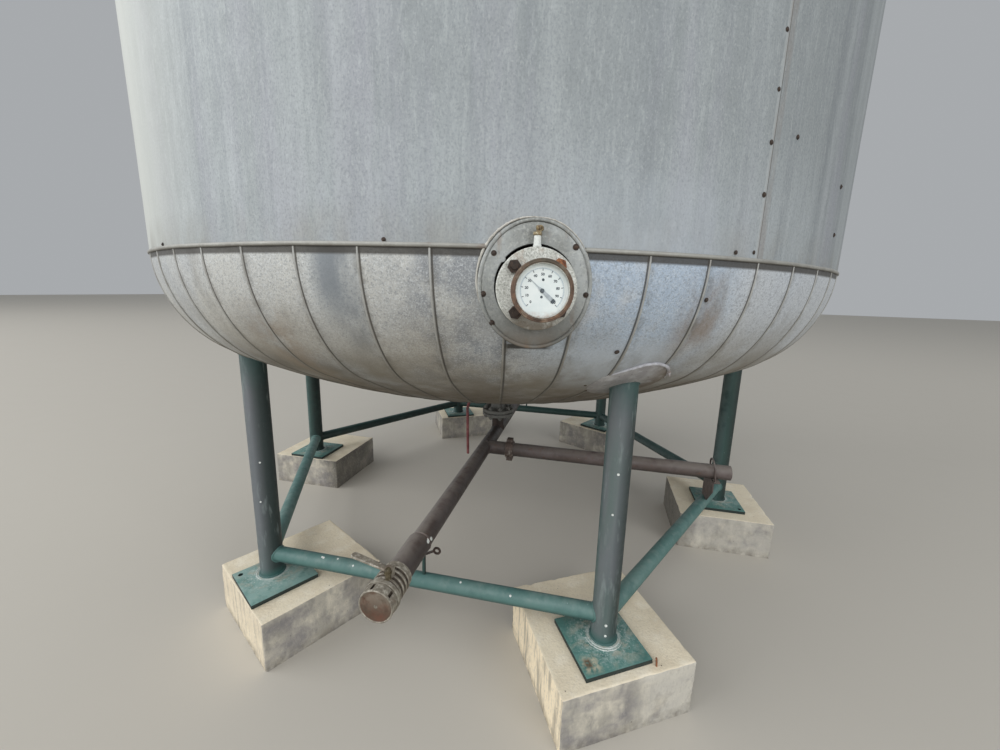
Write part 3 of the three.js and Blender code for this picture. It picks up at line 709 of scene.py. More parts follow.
def goreRingTree():  # one gore wedge copied round the axis, dented a little and welded
    tree, given = newTree("goreRing", {"Gores": ("Int", 60), "Dent": ("Float", 0.001),
                                       "Dent Size": ("Float", 0.4), "Seed": ("Float", 3.0)})
    copies = fanned(tree, given["Geometry"], given["Gores"], given["Gores"])
    real = add(tree, "GeometryNodeRealizeInstances", {0: copies})
    welded = add(tree, "GeometryNodeMergeByDistance", {"Geometry": real, "Distance": 0.00005})
    place = add(tree, "GeometryNodeInputPosition")
    size = add(tree, "ShaderNodeMath", {0: 1.0, 1: given["Dent Size"]}, operation="DIVIDE")
    wave = add(tree, "ShaderNodeTexNoise", {"Vector": place, "W": given["Seed"], "Scale": size, "Detail": 1.0},
               noise_dimensions="4D")
    centred = add(tree, "ShaderNodeMapRange", {0: wave, 1: 0.25, 2: 0.75, 3: -1.0, 4: 1.0})
    depth = add(tree, "ShaderNodeMath", {0: centred, 1: given["Dent"]}, operation="MULTIPLY")
    normal = add(tree, "GeometryNodeInputNormal")
    offset = add(tree, "ShaderNodeVectorMath", {0: normal, "Scale": depth}, operation="SCALE")
    dented = add(tree, "GeometryNodeSetPosition", {"Geometry": welded, "Offset": offset})
    return closeTree(tree, dented, given)


def seamRibTree():  # the meridian line swept with a half-round rib and copied to every seam
    tree, given = newTree("seamRibs", {"Gores": ("Int", 60), "First": ("Float", 0.0), "Rib": ("Float", 0.0036),
                                       "Sides": ("Int", 8)})
    line = add(tree, "GeometryNodeMeshToCurve", {0: given["Geometry"]})
    section = add(tree, "GeometryNodeCurvePrimitiveCircle", {"Resolution": given["Sides"], "Radius": given["Rib"]})
    rib = add(tree, "GeometryNodeCurveToMesh", {0: line, 1: section, "Fill Caps": True})
    return closeTree(tree, fanned(tree, rib, given["Gores"], given["Gores"], start=given["First"]), given)


def headsTree():  # low round heads standing on given points, along each point's own normal
    tree, given = newTree("heads", {"Radius": ("Float", 0.006), "Height": ("Float", 0.003),
                                    "Sides": ("Int", 10), "Seed": ("Int", 1)})
    washer = add(tree, "GeometryNodeMeshCylinder", {"Vertices": given["Sides"], "Radius": given["Radius"],
                 "Depth": 0.0016})
    ball = add(tree, "GeometryNodeMeshUVSphere", {"Segments": given["Sides"], "Rings": 6, "Radius": given["Radius"]})
    tall = add(tree, "ShaderNodeMath", {0: given["Height"], 1: given["Radius"]}, operation="DIVIDE")
    flat = add(tree, "ShaderNodeCombineXYZ", {0: 0.72, 1: 0.72, 2: tall})
    head = add(tree, "GeometryNodeTransform", {"Geometry": ball, "Scale": flat})
    both = add(tree, "GeometryNodeJoinGeometry", {0: [washer, head]})
    aim = add(tree, "GeometryNodeInputNamedAttribute", {"Name": "outward"}, data_type="FLOAT_VECTOR")
    turn = add(tree, "FunctionNodeAlignRotationToVector", {"Vector": aim}, axis="Z")
    size = add(tree, "FunctionNodeRandomValue", {2: 0.85, 3: 1.15, "Seed": given["Seed"]}).outputs[1]
    copies = add(tree, "GeometryNodeInstanceOnPoints", {"Points": given["Geometry"], "Instance": both,
                 "Rotation": turn, "Scale": size})
    return closeTree(tree, copies, given)


def boltRingTree():  # hexagon nuts on stud ends, round a circle about Z
    tree, given = newTree("boltRing", {
        "Count": ("Int", 8), "Circle": ("Float", 0.08), "Phase": ("Float", 0.0), "Flats": ("Float", 0.024),
        "Nut": ("Float", 0.013), "Stud": ("Float", 0.006), "Stud Height": ("Float", 0.02),
        "Turn": ("Rotation", (0, 0, 0)), "Place": ("Vector", (0, 0, 0))})
    ring = add(tree, "GeometryNodeMeshCircle", {"Vertices": given["Count"], "Radius": given["Circle"]})
    phase = add(tree, "ShaderNodeCombineXYZ", {2: given["Phase"]})
    ring = add(tree, "GeometryNodeTransform", {"Geometry": ring, "Rotation": phase})
    corner = add(tree, "ShaderNodeMath", {0: given["Flats"], 1: 1 / math.sqrt(3)}, operation="MULTIPLY")
    standing = []
    for sides, radius, height in ((6, corner, given["Nut"]), (12, given["Stud"], given["Stud Height"])):
        bar = add(tree, "GeometryNodeMeshCylinder", {"Vertices": sides, "Radius": radius, "Depth": height})
        half = add(tree, "ShaderNodeMath", {0: height, 1: 0.5}, operation="MULTIPLY")
        lift = add(tree, "ShaderNodeCombineXYZ", {2: half})
        standing.append(add(tree, "GeometryNodeTransform", {"Geometry": bar, "Translation": lift}))
    both = add(tree, "GeometryNodeJoinGeometry", {0: standing})
    twist = add(tree, "FunctionNodeRandomValue", {2: 0.0, 3: 1.05, "Seed": 4}).outputs[1]
    twist = add(tree, "ShaderNodeCombineXYZ", {2: twist})
    copies = add(tree, "GeometryNodeInstanceOnPoints", {"Points": ring, "Instance": both, "Rotation": twist})
    return closeTree(tree, copies, given)


def dialTickTree():  # short bars on an arc, lying in the XY plane
    tree, given = newTree("dialTicks", {
        "Count": ("Int", 11), "Start": ("Float", 0.0), "Sweep": ("Float", 1.0), "Radius": ("Float", 0.04),
        "Length": ("Float", 0.004), "Width": ("Float", 0.001), "Turn": ("Rotation", (0, 0, 0)),
        "Place": ("Vector", (0, 0, 0))})
    last = add(tree, "ShaderNodeMath", {0: given["Count"], 1: 1.0}, operation="SUBTRACT")
    size = add(tree, "ShaderNodeCombineXYZ", {0: given["Length"], 1: given["Width"], 2: 0.0004})
    bar = add(tree, "GeometryNodeMeshCube", {"Size": size})
    out = add(tree, "ShaderNodeCombineXYZ", {0: given["Radius"]})
    bar = add(tree, "GeometryNodeTransform", {"Geometry": bar, "Translation": out})
    return closeTree(tree, fanned(tree, bar, given["Count"], last, given["Sweep"], given["Start"]), given)


trees = {"gores": goreRingTree(), "ribs": seamRibTree(), "heads": headsTree(), "bolts": boltRingTree(),
         "ticks": dialTickTree()}


def growPiece(name, tree, values, look, node=None, source=([(0, 0, 0)], []), outward=None, sharpAngle=32):
    mesh = bpy.data.meshes.new(name)
    points, faces = source
    isLine = faces and len(faces[0]) == 2
    mesh.from_pydata([[c * mm for c in p] for p in points], faces if isLine else [], [] if isLine else faces)
    if outward:
        attribute = mesh.attributes.new("outward", "FLOAT_VECTOR", "POINT")
        attribute.data.foreach_set("vector", [c for aim in outward for c in Vector(aim).normalized()])
    piece = linked(name, mesh)
    modifier = piece.modifiers.new(name, "NODES")
    modifier.node_group = trees[tree]
    sockets = {s.name: s.identifier for s in trees[tree].interface.items_tree if s.in_out == "INPUT"}
    for label, value in {**values, "Finish": finish[look]}.items():
        modifier[sockets[label]] = value
    grown = evaluated(piece)
    piece.modifiers.clear()
    piece.data = grown
    grown.shade_smooth()
    grown.set_sharp_from_angle(angle=math.radians(sharpAngle))
    return settle(piece, node)


def headPoints(name, spots, radius, height, look, sides=10, seed=1):  # spots of (point, outward)
    values = {"Radius": radius * mm, "Height": height * mm, "Sides": sides, "Seed": seed}
    points, outward = zip(*spots)
    return growPiece(name, "heads", values, look, None, (points, []), outward, 40)


def onShell(azimuth, height, lift=0.0):  # a point on the cladding and its outward direction
    step = outsideRadius(height - 4) - outsideRadius(height + 4)
    outward = Vector(polar(1, azimuth, step / 8 if height < tank["foot"] else 0)).normalized()
    return tuple(Vector(polar(outsideRadius(height), azimuth, height)) + outward * lift), tuple(outward)


# shell cladding
shell = {"laps": [tank["firstLap"] + 90 * k for k in range(4)], "lapLift": 1.6, "jointLift": 1.4, "columns": 240,
         "rows": 16, "dent": 0.9}
port = {"azimuth": 16, "height": 1441, "hole": 100, "recess": 60}
portTurn = [shifted(0, 0, port["height"]), turnZ(port["azimuth"])]


def facing(shape, drop=0):  # a shape turned about Z, set to look out of the port
    return placed(shape, turnX(90), shifted(0, 0, -drop), *portTurn)


def portHole():
    back, front = tank["radius"] - port["recess"], tank["radius"] + 60
    return facing(turned([(0, back), (port["hole"], back), (port["hole"], front), (0, front)], 64))


def shellCourse(low, high, isFirst):
    azimuths = [i * 360 / shell["columns"] for i in range(shell["columns"])]
    azimuths = sorted(azimuths + [lap - step for lap in shell["laps"] for step in (1.8, 1.3, 0.04, 0)])

    def outside(azimuth, height):  # raised before each upright lap and above each level one, and dented a little
        before = min((lap - azimuth for lap in shell["laps"] if lap > azimuth), default=90)
        lift = shell["lapLift"] * min(1, max(0, (1.8 - before) / 0.5))
        if not isFirst and height < low + 36:
            lift += shell["jointLift"]
        x, y, _ = polar(4, azimuth)
        return tank["radius"] + lift + shell["dent"] * noise.noise(Vector((x, -y, height / 420))) - 0.6

    heights = [low + (high - low) * i / shell["rows"] for i in range(shell["rows"] + 1)]
    if not isFirst:
        heights = [low, low + 35.5, low + 36.5] + heights[1:]
    points = [polar(outside(azimuth, height), azimuth, height) for height in heights for azimuth in azimuths]
    points += [polar(tank["radius"] - tank["wall"], azimuth, height) for height in (high, low) for azimuth in azimuths]
    return points, spanned(numbered(len(heights) + 2, len(azimuths)), True)


def repainted(piece, look, chosen):  # gives the faces that a test picks by their centre another finish
    piece.data.materials.append(finish[look])
    for face in piece.data.polygons:
        if chosen(face.center / mm):
            face.material_index = len(piece.data.materials) - 1
    return piece


def inPortHole(centre):
    at = turnZ(-port["azimuth"]) @ centre
    return math.hypot(at.x, at.z - port["height"]) < port["hole"] + 0.5 and 0 < -at.y < outsideRadius(at.z) - 1


for i in range(tank["courses"]):
    low = tank["foot"] + i * tank["course"] + (tank["gap"] if i else 0)
    high = tank["foot"] + (i + 1) * tank["course"]
    course = makePiece(f"claddingCourse{i + 1}", shellCourse(low, high, i == 0), "weatheredZincSheet",
                       "sheet_cladding", f"shell_course_{i + 1}")
    if i == 0:
        # faces inside the port hole take the near-black packing, darkened as painted shade in the recess
        repainted(drilled(course, portHole()), "blackPackingAndShade", inPortHole)
print("shell courses made")

# gored dishes: rims hold each dish's rim height and its way up or down
dish = {"columns": 8, "knuckleSteps": 34, "crownSteps": 44, "rib": 2.7, "discRadius": 430, "dent": 1.1}
rims = {"bottom": (tank["foot"], -1), "top": (shellTop, 1)}


def goreWedge(base, sign):
    span = 360 / tank["gores"]
    profile = [(*spot, True) for spot in dishArc(0, dish["knuckleSteps"], dish["crownSteps"])]
    profile += [(*spot, False) for spot in reversed(dishArc(tank["wall"], 5, 4))]
    points, rings = [], []
    for radius, depth, isOutside in profile:
        rings.append([len(points) + (k if radius else 0) for k in range(dish["columns"] + 1)])
        for k in range(dish["columns"] + 1 if radius else 1):
            turn = span * k / dish["columns"]
            flat = math.cos(math.radians(span / 2)) / math.cos(math.radians(turn - span / 2))
            pull = 1 - 0.75 * (1 - flat) if isOutside else 1
            points.append(polar(radius * pull, tank["firstSeam"] + turn, base + sign * (tank["gap"] + depth)))
    faces = spanned(rings, True, True)
    return points, [f[::-1] for f in faces] if sign > 0 else faces


def meridian(base, sign):
    arc = [(r, d) for r, d in dishArc(0, 24, 40) if r > dish["discRadius"] - 12]
    return [(0, 0.6 - r, base + sign * d) for r, d in arc], [(i, i + 1) for i in range(len(arc) - 1)]


# the patch round the front right leg's head: its edge as (azimuth, radius), from the fold's left end
boot = {"lift": 6, "atLeg": 1.0, "edge": [
    (25.0, 1462), (25.7, 1477), (26.9, 1493), (28.0, 1505), (28.8, 1513), (29.8, 1516), (30.6, 1515),
    (31.6, 1508), (32.3, 1499), (32.9, 1484), (33.6, 1450), (33.8, 1410), (33.2, 1365), (32.0, 1325),
    (30.4, 1300), (28.5, 1295), (26.9, 1306), (25.7, 1330), (24.9, 1360), (24.4, 1395), (24.5, 1430)]}
edgeXY = [polar(radius, azimuth)[:2] for azimuth, radius in boot["edge"]]

for name, (base, sign) in rims.items():
    isTop = sign > 0
    values = {"Gores": tank["gores"], "Dent": dish["dent"] * mm, "Dent Size": 0.45, "Seed": 5.0 + isTop}
    gores = growPiece(f"{name}Gores", "gores", values, "spangledZincGores", f"{name}_dish",
                      goreWedge(base, sign), sharpAngle=50)
    facedOutwards(gores.data)
    values = {"Gores": tank["gores"], "First": math.radians(tank["firstSeam"]), "Rib": dish["rib"] * mm, "Sides": 8}
    ribs = growPiece(f"{name}SeamRibs", "ribs", values, "foldedSeamZinc", None,
                     meridian(base, sign))
    if not isTop:
        # faces inside the port hole take the near-black packing, darkened as painted shade in the recess
        repainted(drilled(gores, portHole()), "blackPackingAndShade", inPortHole)
        drilled(ribs, portHole(), cutPlate(edgeXY, 950, 1350, 0.01))
    (rim, rimDepth), *arc = [(r, d) for r, d in dishArc(0, 24, 60) if r < dish["discRadius"]]
    proud, crownProud = (0.1, -0.4) if isTop else (1.8, 0.3)
    middle = tank["crown"] - crownRise
    disc = [(rim + 4, rimDepth - 3), *[(r, d + proud) for r, d in [(rim, rimDepth), *arc[:-1]]],
            (0, middle + crownProud), (0, middle - 8), (rim + 4, rimDepth - 10)]
    makePiece(f"{name}CentreDisc", turned([(r, base + sign * d) for r, d in disc], 96), "spangledZincGores",
              "gored_cladding")
print("dishes made")

# swaged bands between shell and dishes
band = {"radius": 6, "flatness": 0.88, "wobble": 0.8, "steps": 8, "columns": 360, "collarHalf": 3.9}


def swagedBand(height, start=0, end=360):
    isWhole = end - start == 360
    half, inner = band["radius"], tank["radius"] - 1.5
    section = [(inner, -half)]
    for i in range(band["steps"] + 1):
        angle = (i / band["steps"] - 0.5) * math.pi
        section.append((tank["radius"] + tank["gap"] + half * math.cos(angle) * band["flatness"],
                        half * math.sin(angle)))
    section.append((inner, half))
    columns = band["columns"] + (not isWhole)
    points = []
    for i in range(columns):
        azimuth = start + (end - start) * i / band["columns"]
        wobble = band["wobble"] * noise.noise(Vector((azimuth / 9, height / 500, 0)))
        points += [polar(radius - 0.25 * abs(wobble), azimuth, height + rise + wobble) for radius, rise in section]
    rings = numbered(columns, len(section))
    return points, spanned(rings, isWhole, True) + ([] if isWhole else [rings[0][:-1], rings[-1][:-1]])


sweep = (port["azimuth"] + band["collarHalf"], port["azimuth"] - band["collarHalf"] + 360)
makePiece("lowerBand", swagedBand(tank["foot"], *sweep), "paleZincTrim", "trim_metal", "lower_bead")
makePiece("upperBand", swagedBand(shellTop), "paleZincTrim", "trim_metal", "upper_bead")

# screws of the cladding: loose ones by azimuth and height, then those of the laps and the joints
screws = {"radius": 6, "height": 3.2, "pitch": 122, "loose": [
    (34.4, 1537), (36.7, 1541), (3.9, 1531), (-25.5, 1531), (40.7, 1833), (52.8, 1768), (53.4, 1628), (24.7, 1277.5),
    (32.1, 1418)]}
spots = [onShell(*spot, 0.5) for spot in screws["loose"]]
for lap in shell["laps"]:
    height = 1681
    while height < shellTop - 60:
        spots.append(onShell(lap - 0.35, height, shell["lapLift"]))
        height += screws["pitch"] + 5 * math.sin(height)
for joint in (1, 2):
    spots += [onShell(k * 5 + 1.5, tank["foot"] + joint * tank["course"] + 18, 1.4) for k in range(72)]
headPoints("claddingScrews", spots, screws["radius"], screws["height"], "blackenedSteel")
print("bands and screws made")

# legs, braces, plates and plinths, one entry for each leg where they differ
support = {"plateTop": 222.6, "plateSide": 250, "plateThickness": 17, "plinthHeight": 205, "weld": 4, "legTop": 1185}
plinthShifts = [(-113, 12), (-80, 17), (0, 25), (98, 100), (105, -63), (-3, -115)]
plinthForms = [(487, 1.3), (500, -1), (487, 0), (487, 0), (487, 0), (487, 0)]
plateShifts = [(0, 31), (10, -14), (-6, -18), (8, 8), (0, -6), (-8, 0)]


def weldRing(path, thickness, seed, up=(0, 0, 1)):  # a hand-run fillet along a closed path
    rng = random.Random(seed)
    return swept(path, [thickness * (0.85 + 0.3 * rng.random()) for _ in path], 8, loop=True, up=up)


def legShape(seed):
    radius, circle, foot = tank["legRadius"], tank["legCircle"], support["plateTop"] + 0.2
    tube = placed(turned(rod(radius, foot, support["legTop"], 12), 48), shifted(0, -circle, 0))
    low = [(math.sin(t) * (radius + 1), -circle - math.cos(t) * (radius + 1), foot + 1.5) for t in turns]
    high = [(math.sin(t) * (radius + 0.5), -circle - math.cos(t) * (radius + 0.5)) for t in turns]
    high = [(x, y, dishFoot(math.hypot(x, y)) - 0.5) for x, y in high]
    return together(tube, weldRing(low, support["weld"] + 1, seed), weldRing(high, support["weld"] - 1, seed + 50))


def braceShape(seed):
    half, radius, height = tank["legCircle"] / 2, tank["braceRadius"], tank["braceHeight"]
    line = -tank["legCircle"] * math.cos(math.radians(30))
    parts = [placed(turned(rod(radius, 30 - half, half - 30, 10), 40), turnY(90), shifted(0, line, height))]
    for side in (-1, 1):
        path = []
        for i in range(48):
            y, z = radius * math.cos(math.tau * i / 48), radius * math.sin(math.tau * i / 48)
            inset = math.sqrt(tank["legRadius"] ** 2 - y * y)
            path.append((side * (half - inset - 0.5), line + y * 1.03, height + z * 1.03))
        parts.append(weldRing(path, support["weld"] - 0.5, seed + side, up=(1, 0, 0)))
    return together(*parts)


def gradedSteps(side):  # grid lines, close together near both ends
    steps, at, width = [0.0], 0.0, 3
    while at + width < side / 2:
        at += width
        steps.append(at)
        width = min(16, width * 1.35)
    half = [s - side / 2 for s in steps]
    return half + [0.0] + [-h for h in reversed(half)]


def plinthShape(side, height, seed):  # a box on a graded grid, its edges chipped and its faces rough
    lines = {0: gradedSteps(side), 1: gradedSteps(side), 2: [z + height / 2 for z in gradedSteps(height)]}
    half = side / 2
    points, index, faces = [], {}, []

    def corner(p):
        if p not in index:
            index[p] = len(points)
            points.append(shaped(Vector(p)))
        return index[p]

    def shaped(p):
        q = Vector((p.x / 90 + seed * 7.3, p.y / 90, p.z / 90))
        chip = 4.5 + 5 * max(0, noise.noise(q * 1.3)) + 24 * max(0, noise.noise(q * 2.7 + Vector((9, 9, 9))) - 0.2)
        inside = Vector((max(-half + chip, min(half - chip, p.x)), max(-half + chip, min(half - chip, p.y)),
                         min(height - chip, p.z)))
        away = p - inside
        if away.length > chip and away.length > 0:
            p = inside + away.normalized() * chip
        rough = 1.6 * abs(noise.noise(q * 4)) + 0.5 * abs(noise.noise(q * 18))
        if abs(away.x) > abs(away.y) and abs(away.x) > abs(away.z):
            side = -1 if away.x < 0 else 1
            groove = abs(noise.noise(Vector((p.y / 26, seed, 0)))) * (4.5 if side < 0 else 1.5)
            p.x -= side * (rough + groove)
        elif abs(away.y) > abs(away.z):
            p.y -= math.copysign(rough + abs(noise.noise(Vector((p.x / 60, p.z / 22, seed)))) * 2.5, away.y)
        elif p.z > height / 2:
            p.z -= 0.8 * abs(noise.noise(q * 2)) + 0.3 * abs(noise.noise(q * 12))
        return tuple(p)

    for axis in range(3):
        u, v = [k for k in range(3) if k != axis]
        for end in (lines[axis][0], lines[axis][-1]):
            for a, b in zip(lines[u], lines[u][1:]):
                for c, d in zip(lines[v], lines[v][1:]):
                    corners = []
                    for s, t in ((a, c), (b, c), (b, d), (a, d)):
                        p = [0, 0, 0]
                        p[axis], p[u], p[v] = end, s, t
                        corners.append(corner(tuple(p)))
                    faces.append(corners)
    return points, faces


size, thick = support["plateSide"], support["plateThickness"]
inset = size / 2 - 24
holes = {0: [(4 - inset, -inset)], 2: [(-inset, -inset)], 4: [(inset, inset)]}  # bolt holes at plates' corners
drill = turned([(0, 180), (9, 180), (9, 240), (0, 240)], 24)
for i, azimuth in enumerate(legAzimuths):
    spin = turnZ(azimuth)
    bracePaint = "chalkedBracePaint" if i in (0, 1, 5) else "shelteredShadedGreenPaint"
    makePiece(f"legTube{i + 1}", placed(legShape(i), spin), "chalkedLegPaint" if i < 2 else "shelteredShadedGreenPaint",
              "green_paint", f"leg_{i + 1}")
    makePiece(f"braceTube{i + 1}", placed(braceShape(i + 20), turnZ(azimuth + 30)), bracePaint, "green_paint",
              f"brace_{i + 1}")
    out, across = plateShifts[i]
    away = -tank["legCircle"] - out
    steel = block((size, size, thick), (across, away, support["plateTop"] - thick / 2 - 0.3), 1.6)
    steelPlate = makePiece(f"basePlate{i + 1}", placed(steel, spin), "limedPlatePaint", "green_paint",
                           f"base_plate_{i + 1}")
    drilled(steelPlate, *[placed(drill, shifted(across + x, away + y, 0), spin) for x, y in holes.get(i, [])])
    out, across = plinthShifts[i]
    side, twist = plinthForms[i]
    cast = placed(plinthShape(side, support["plinthHeight"], i), turnZ(twist),
                  shifted(across, -tank["legCircle"] - out, 0), spin)
    makePiece(f"castPlinth{i + 1}", cast, "castConcrete", "concrete", f"plinth_{i + 1}", sharpAngle=60)


def limeRing(radius, start, end, seed):  # a dried tide line round the foot of a leg
    rng = random.Random(seed)
    path, radii = [], []
    for k in range(41):
        x, y, _ = polar(radius + 1.5 * rng.random(), start + (end - start) * k / 40)
        path.append((x, y - tank["legCircle"], support["plateTop"]))
        radii.append((0.4 + 1.3 * math.sin(math.pi * k / 40)) * (0.6 + 0.6 * rng.random()))
    return swept(path, radii, 6)


lime = [placed(limeRing(*ring), turnZ(leg)) for *ring, leg in (
    (57, -105, 60, 1, 30), (66, -95, 45, 2, 30), (58, -120, 40, 3, -30), (65, -100, -20, 4, -30))]
makePiece("limeTideLines", together(*lime), "driedLime", "green_paint")


def onLeg(number, turn, height):  # a point on a leg's paint
    aim = Vector((math.cos(math.radians(turn)), math.sin(math.radians(turn)), 0))
    foot = Vector(polar(tank["legCircle"], legAzimuths[number], height))
    return tuple(foot + aim * (tank["legRadius"] + 0.2)), tuple(aim)


def onBrace(x, turn):  # a point on the front brace's paint
    aim = Vector((0, -math.cos(math.radians(turn)), math.sin(math.radians(turn))))
    line = Vector((x, -tank["legCircle"] * math.cos(math.radians(30)), tank["braceHeight"]))
    return tuple(line + aim * (tank["braceRadius"] + 0.2)), tuple(aim)


splashes = [onLeg(*spot) for spot in (
    (1, -87.8, 861), (1, -97, 719), (1, -85, 301), (1, -84, 260), (0, -57, 733), (0, -71, 566))]
splashes += [onBrace(*spot) for spot in ((-436, 72), (-428, 68), (-367, 80), (-290, 50), (155, 70), (350, 42))]
headPoints("paintSplashes", splashes, 4.2, 1.4, "driedLime", sides=12, seed=9)
nail = {"x": 864.8, "y": -1261.3, "radius": 3.4, "bends": [(0, 0, -3), (-1, 1, 14), (-3, 1, 30)]}
nailPath = [(nail["x"] + x, nail["y"] + y, support["plinthHeight"] + z) for x, y, z in nail["bends"]]
makePiece("bentNail", swept(nailPath, nail["radius"], 10), "orangeRust", "concrete")
print("supports made")

# instrument port
collar = {"halfWidth": 130, "halfHeight": 145, "proud": 4, "rim": 4.5, "hole": 92.5, "holeDrop": 4, "columns": 120,
          "screws": [(-95, 66), (87, 85), (116, -19), (-117, -23), (-96, -87), (7, 122)]}
flange = {"drop": 9, "radius": 90, "thickness": 18, "face": 30}
gauge = {"drop": 12, "front": 122, "radius": 63, "case": 57.5, "dial": 54.6}


def onWall(x, z):  # distance of the cladding's outside from the tank's axis, in the port's frame
    return math.sqrt(max(0.0, outsideRadius(port["height"] + z) ** 2 - x ** 2))


def collarShape():
    front, rim = tank["radius"] + collar["proud"], collar["rim"]
    points = []
    for i in range(collar["columns"]):
        angle = math.tau * i / collar["columns"]
        c, s = math.cos(angle), math.sin(angle)
        edge = Vector((collar["halfWidth"] * c, 0, collar["halfHeight"] * s))
        tab = 138 < math.degrees(angle) < 147  # a small tab of sheet left standing in the hole
        holeRadius = collar["hole"] - (4.5 if tab else 0)
        hole = Vector((holeRadius * c, 0, holeRadius * s - collar["holeDrop"]))
        outward = edge.normalized()
        wobble = 0.4 * noise.noise(Vector((c * 3, s * 3, 4)))
        section = [(hole, front - 1.2), (hole + outward * 1.2, front)]
        section += [(hole.lerp(edge, t), front - 0.6 * math.sin(math.pi * t)) for t in (0.25, 0.5, 0.7)]
        for k in range(7):
            turn = math.pi * (1 - k / 6)
            section.append((edge - outward * (rim - rim * math.cos(turn)),
                            front - 2.8 + rim * 0.8 * math.sin(turn) + wobble))
        wall = min(onWall(edge.x, edge.z) + 2, front - 4)
        section += [(edge, (front + wall) / 2), (edge, wall - 5), (edge - outward * 3, wall - 8),
                    (hole + outward * 5, onWall(hole.x, hole.z) - 8), (hole, front - 8)]
        points += [(p.x, -d, p.z) for p, d in section]
    return points, spanned(numbered(collar["columns"], len(section)), True, True)


makePiece("portCollar", placed(collarShape(), *portTurn), "stainedZincCollar", "trim_metal", "port_collar")


def sealantBead(start, end, out, thick, seed):  # pressed along the collar's edge by hand
    rng = random.Random(seed)
    path, radii = [], []
    for k in range(61):
        angle = math.radians(start + (end - start) * k / 60)
        bulge = out * math.sin(math.pi * k / 60)
        x, z = (collar["halfWidth"] + bulge) * math.cos(angle), (collar["halfHeight"] + bulge) * math.sin(angle)
        path.append((x, -max(onWall(x, z), tank["radius"] - 12) - 1.5, z))
        radii.append(thick * (0.7 + 0.5 * rng.random()) * (0.35 + 0.65 * math.sin(math.pi * (0.08 + 0.84 * k / 60))))
    return swept(path, radii, 8)


sealant = together(sealantBead(88, 196, 5, 3.2, 31), sealantBead(20, 92, 1.5, 2.4, 32))
makePiece("collarSealant", placed(sealant, *portTurn), "chalkySealant", "trim_metal")
spin = turnZ(port["azimuth"])
front = tank["radius"] + collar["proud"] - 0.4
spots = [(tuple(spin @ Vector((x, -front, port["height"] + z))), tuple(spin @ Vector((0, -1, 0))))
         for x, z in collar["screws"]]
headPoints("collarScrews", spots, 6.5, 3.5, "blackenedSteel", seed=5)

face = tank["radius"] + flange["face"]
back, stub, rim = face - flange["thickness"], tank["radius"] - port["recess"] + 0.3, flange["radius"]
disc = [(0, stub), (38.05, stub), *raised(back, (38.05, -6), (42, -1), (45, 0), (rim - 2, 0), (rim, 2)),
        *raised(face, (rim, -2), (rim - 2, 0), (60, 0), (58, 1.5), (30, 1.5), (0, 1.5))]
makePiece("portFlange", facing(turned(disc, 72), flange["drop"]), "speckledFlangePaint", "flange_paint",
          "port_flange")


def ringPlace(distance, drop):  # where a ring lies that looks out of the port
    at = turnZ(port["azimuth"]) @ Vector((0, -distance, port["height"] - drop))
    return {"Turn": (turnZ(port["azimuth"]) @ turnX(90)).to_quaternion().to_euler(), "Place": tuple(at * mm)}


values = {"Count": 4, "Circle": 0.0695, "Phase": math.radians(48), "Flats": 0.026, "Nut": 0.014, "Stud": 0.007,
          "Stud Height": 0.019, **ringPlace(face - 0.3, flange["drop"])}
nuts = growPiece("portNuts", "bolts", values, "blackenedSteel")
repainted(nuts, "orangeRust", lambda centre: (turnZ(-port["azimuth"]) @ centre).x > 0 and
          centre.z > port["height"])

front = tank["radius"] + gauge["front"]
seat, inside, radius, caseRadius = front - 16, gauge["dial"] + 0.9, gauge["radius"], gauge["case"]
dialEdge, dialFront = gauge["dial"], seat + 2.3
rings = {  # name: profile, sides, finish, slot, node
    "gaugeCase": ([*raised(face, (0, 1), (21, 1), (22, 2), (22, 14), (21, 15), (14, 15.5)),
                   *raised(front, (14, -49), (18, -48), (46, -44.5), (50, -43), (caseRadius - 1, -39),
                           (caseRadius, -36), (caseRadius, -10), (inside, -10), (inside, -16), (0, -16))],
                  64, "rustedSteel", "rusty_bezel", "gauge_case"),
    "gaugeBezel": (raised(front, (caseRadius + 0.3, -26), (radius - 1.5, -26), (radius - 0.3, -25), (radius, -23),
                          (radius, -5), (radius - 0.8, -2.2), (radius - 2.2, -1.2), (radius - 3.4, -1.6),
                          (radius - 4.2, -1.4), (radius - 5.4, 0), (radius - 6.8, -0.4), (dialEdge, -2.6),
                          (dialEdge, -9.7), (caseRadius + 0.3, -9.7)), 96, "rustedSteel", "rusty_bezel", "gauge_bezel"),
    "dialPlate": (raised(dialFront, (0, -2), (inside - 0.5, -2), (inside - 0.5, 0), (inside - 1.4, 0.6),
                         (inside - 4, 0.5), (inside - 4.6, -0.1), (0, -0.1)),
                  96, "whiteDialEnamel", "dial_face", "gauge_dial"),
    "gaugeLip": (raised(front, (dialEdge - 1.6, -9.6), (dialEdge - 0.2, -9.6), (dialEdge - 0.2, -3.4),
                        (dialEdge - 0.9, -3), (dialEdge - 1.6, -3.6)), 96, "speckledFlangePaint", "rusty_bezel"),
}
for name, (profile, sides, *rest) in rings.items():
    makePiece(name, facing(turned(profile, sides), gauge["drop"]), *rest)

dialMarks = {"numbers": 11, "start": 225, "sweep": -270, "numberRadius": 32, "text": 7.2, "reading": 48}
shared = {"Start": math.radians(dialMarks["start"]), "Sweep": math.radians(dialMarks["sweep"]),
          **ringPlace(dialFront, gauge["drop"])}
for name, count, radius, length, width, look in (("Long", 11, 0.0412, 0.0048, 0.0014, "fadedDialPrint"),
                                                 ("Short", 101, 0.0438, 0.0026, 0.0008, "paleDialPrint")):
    growPiece(f"dial{name}Ticks", "ticks", {**shared, "Count": count, "Radius": radius, "Length": length,
              "Width": width}, look)


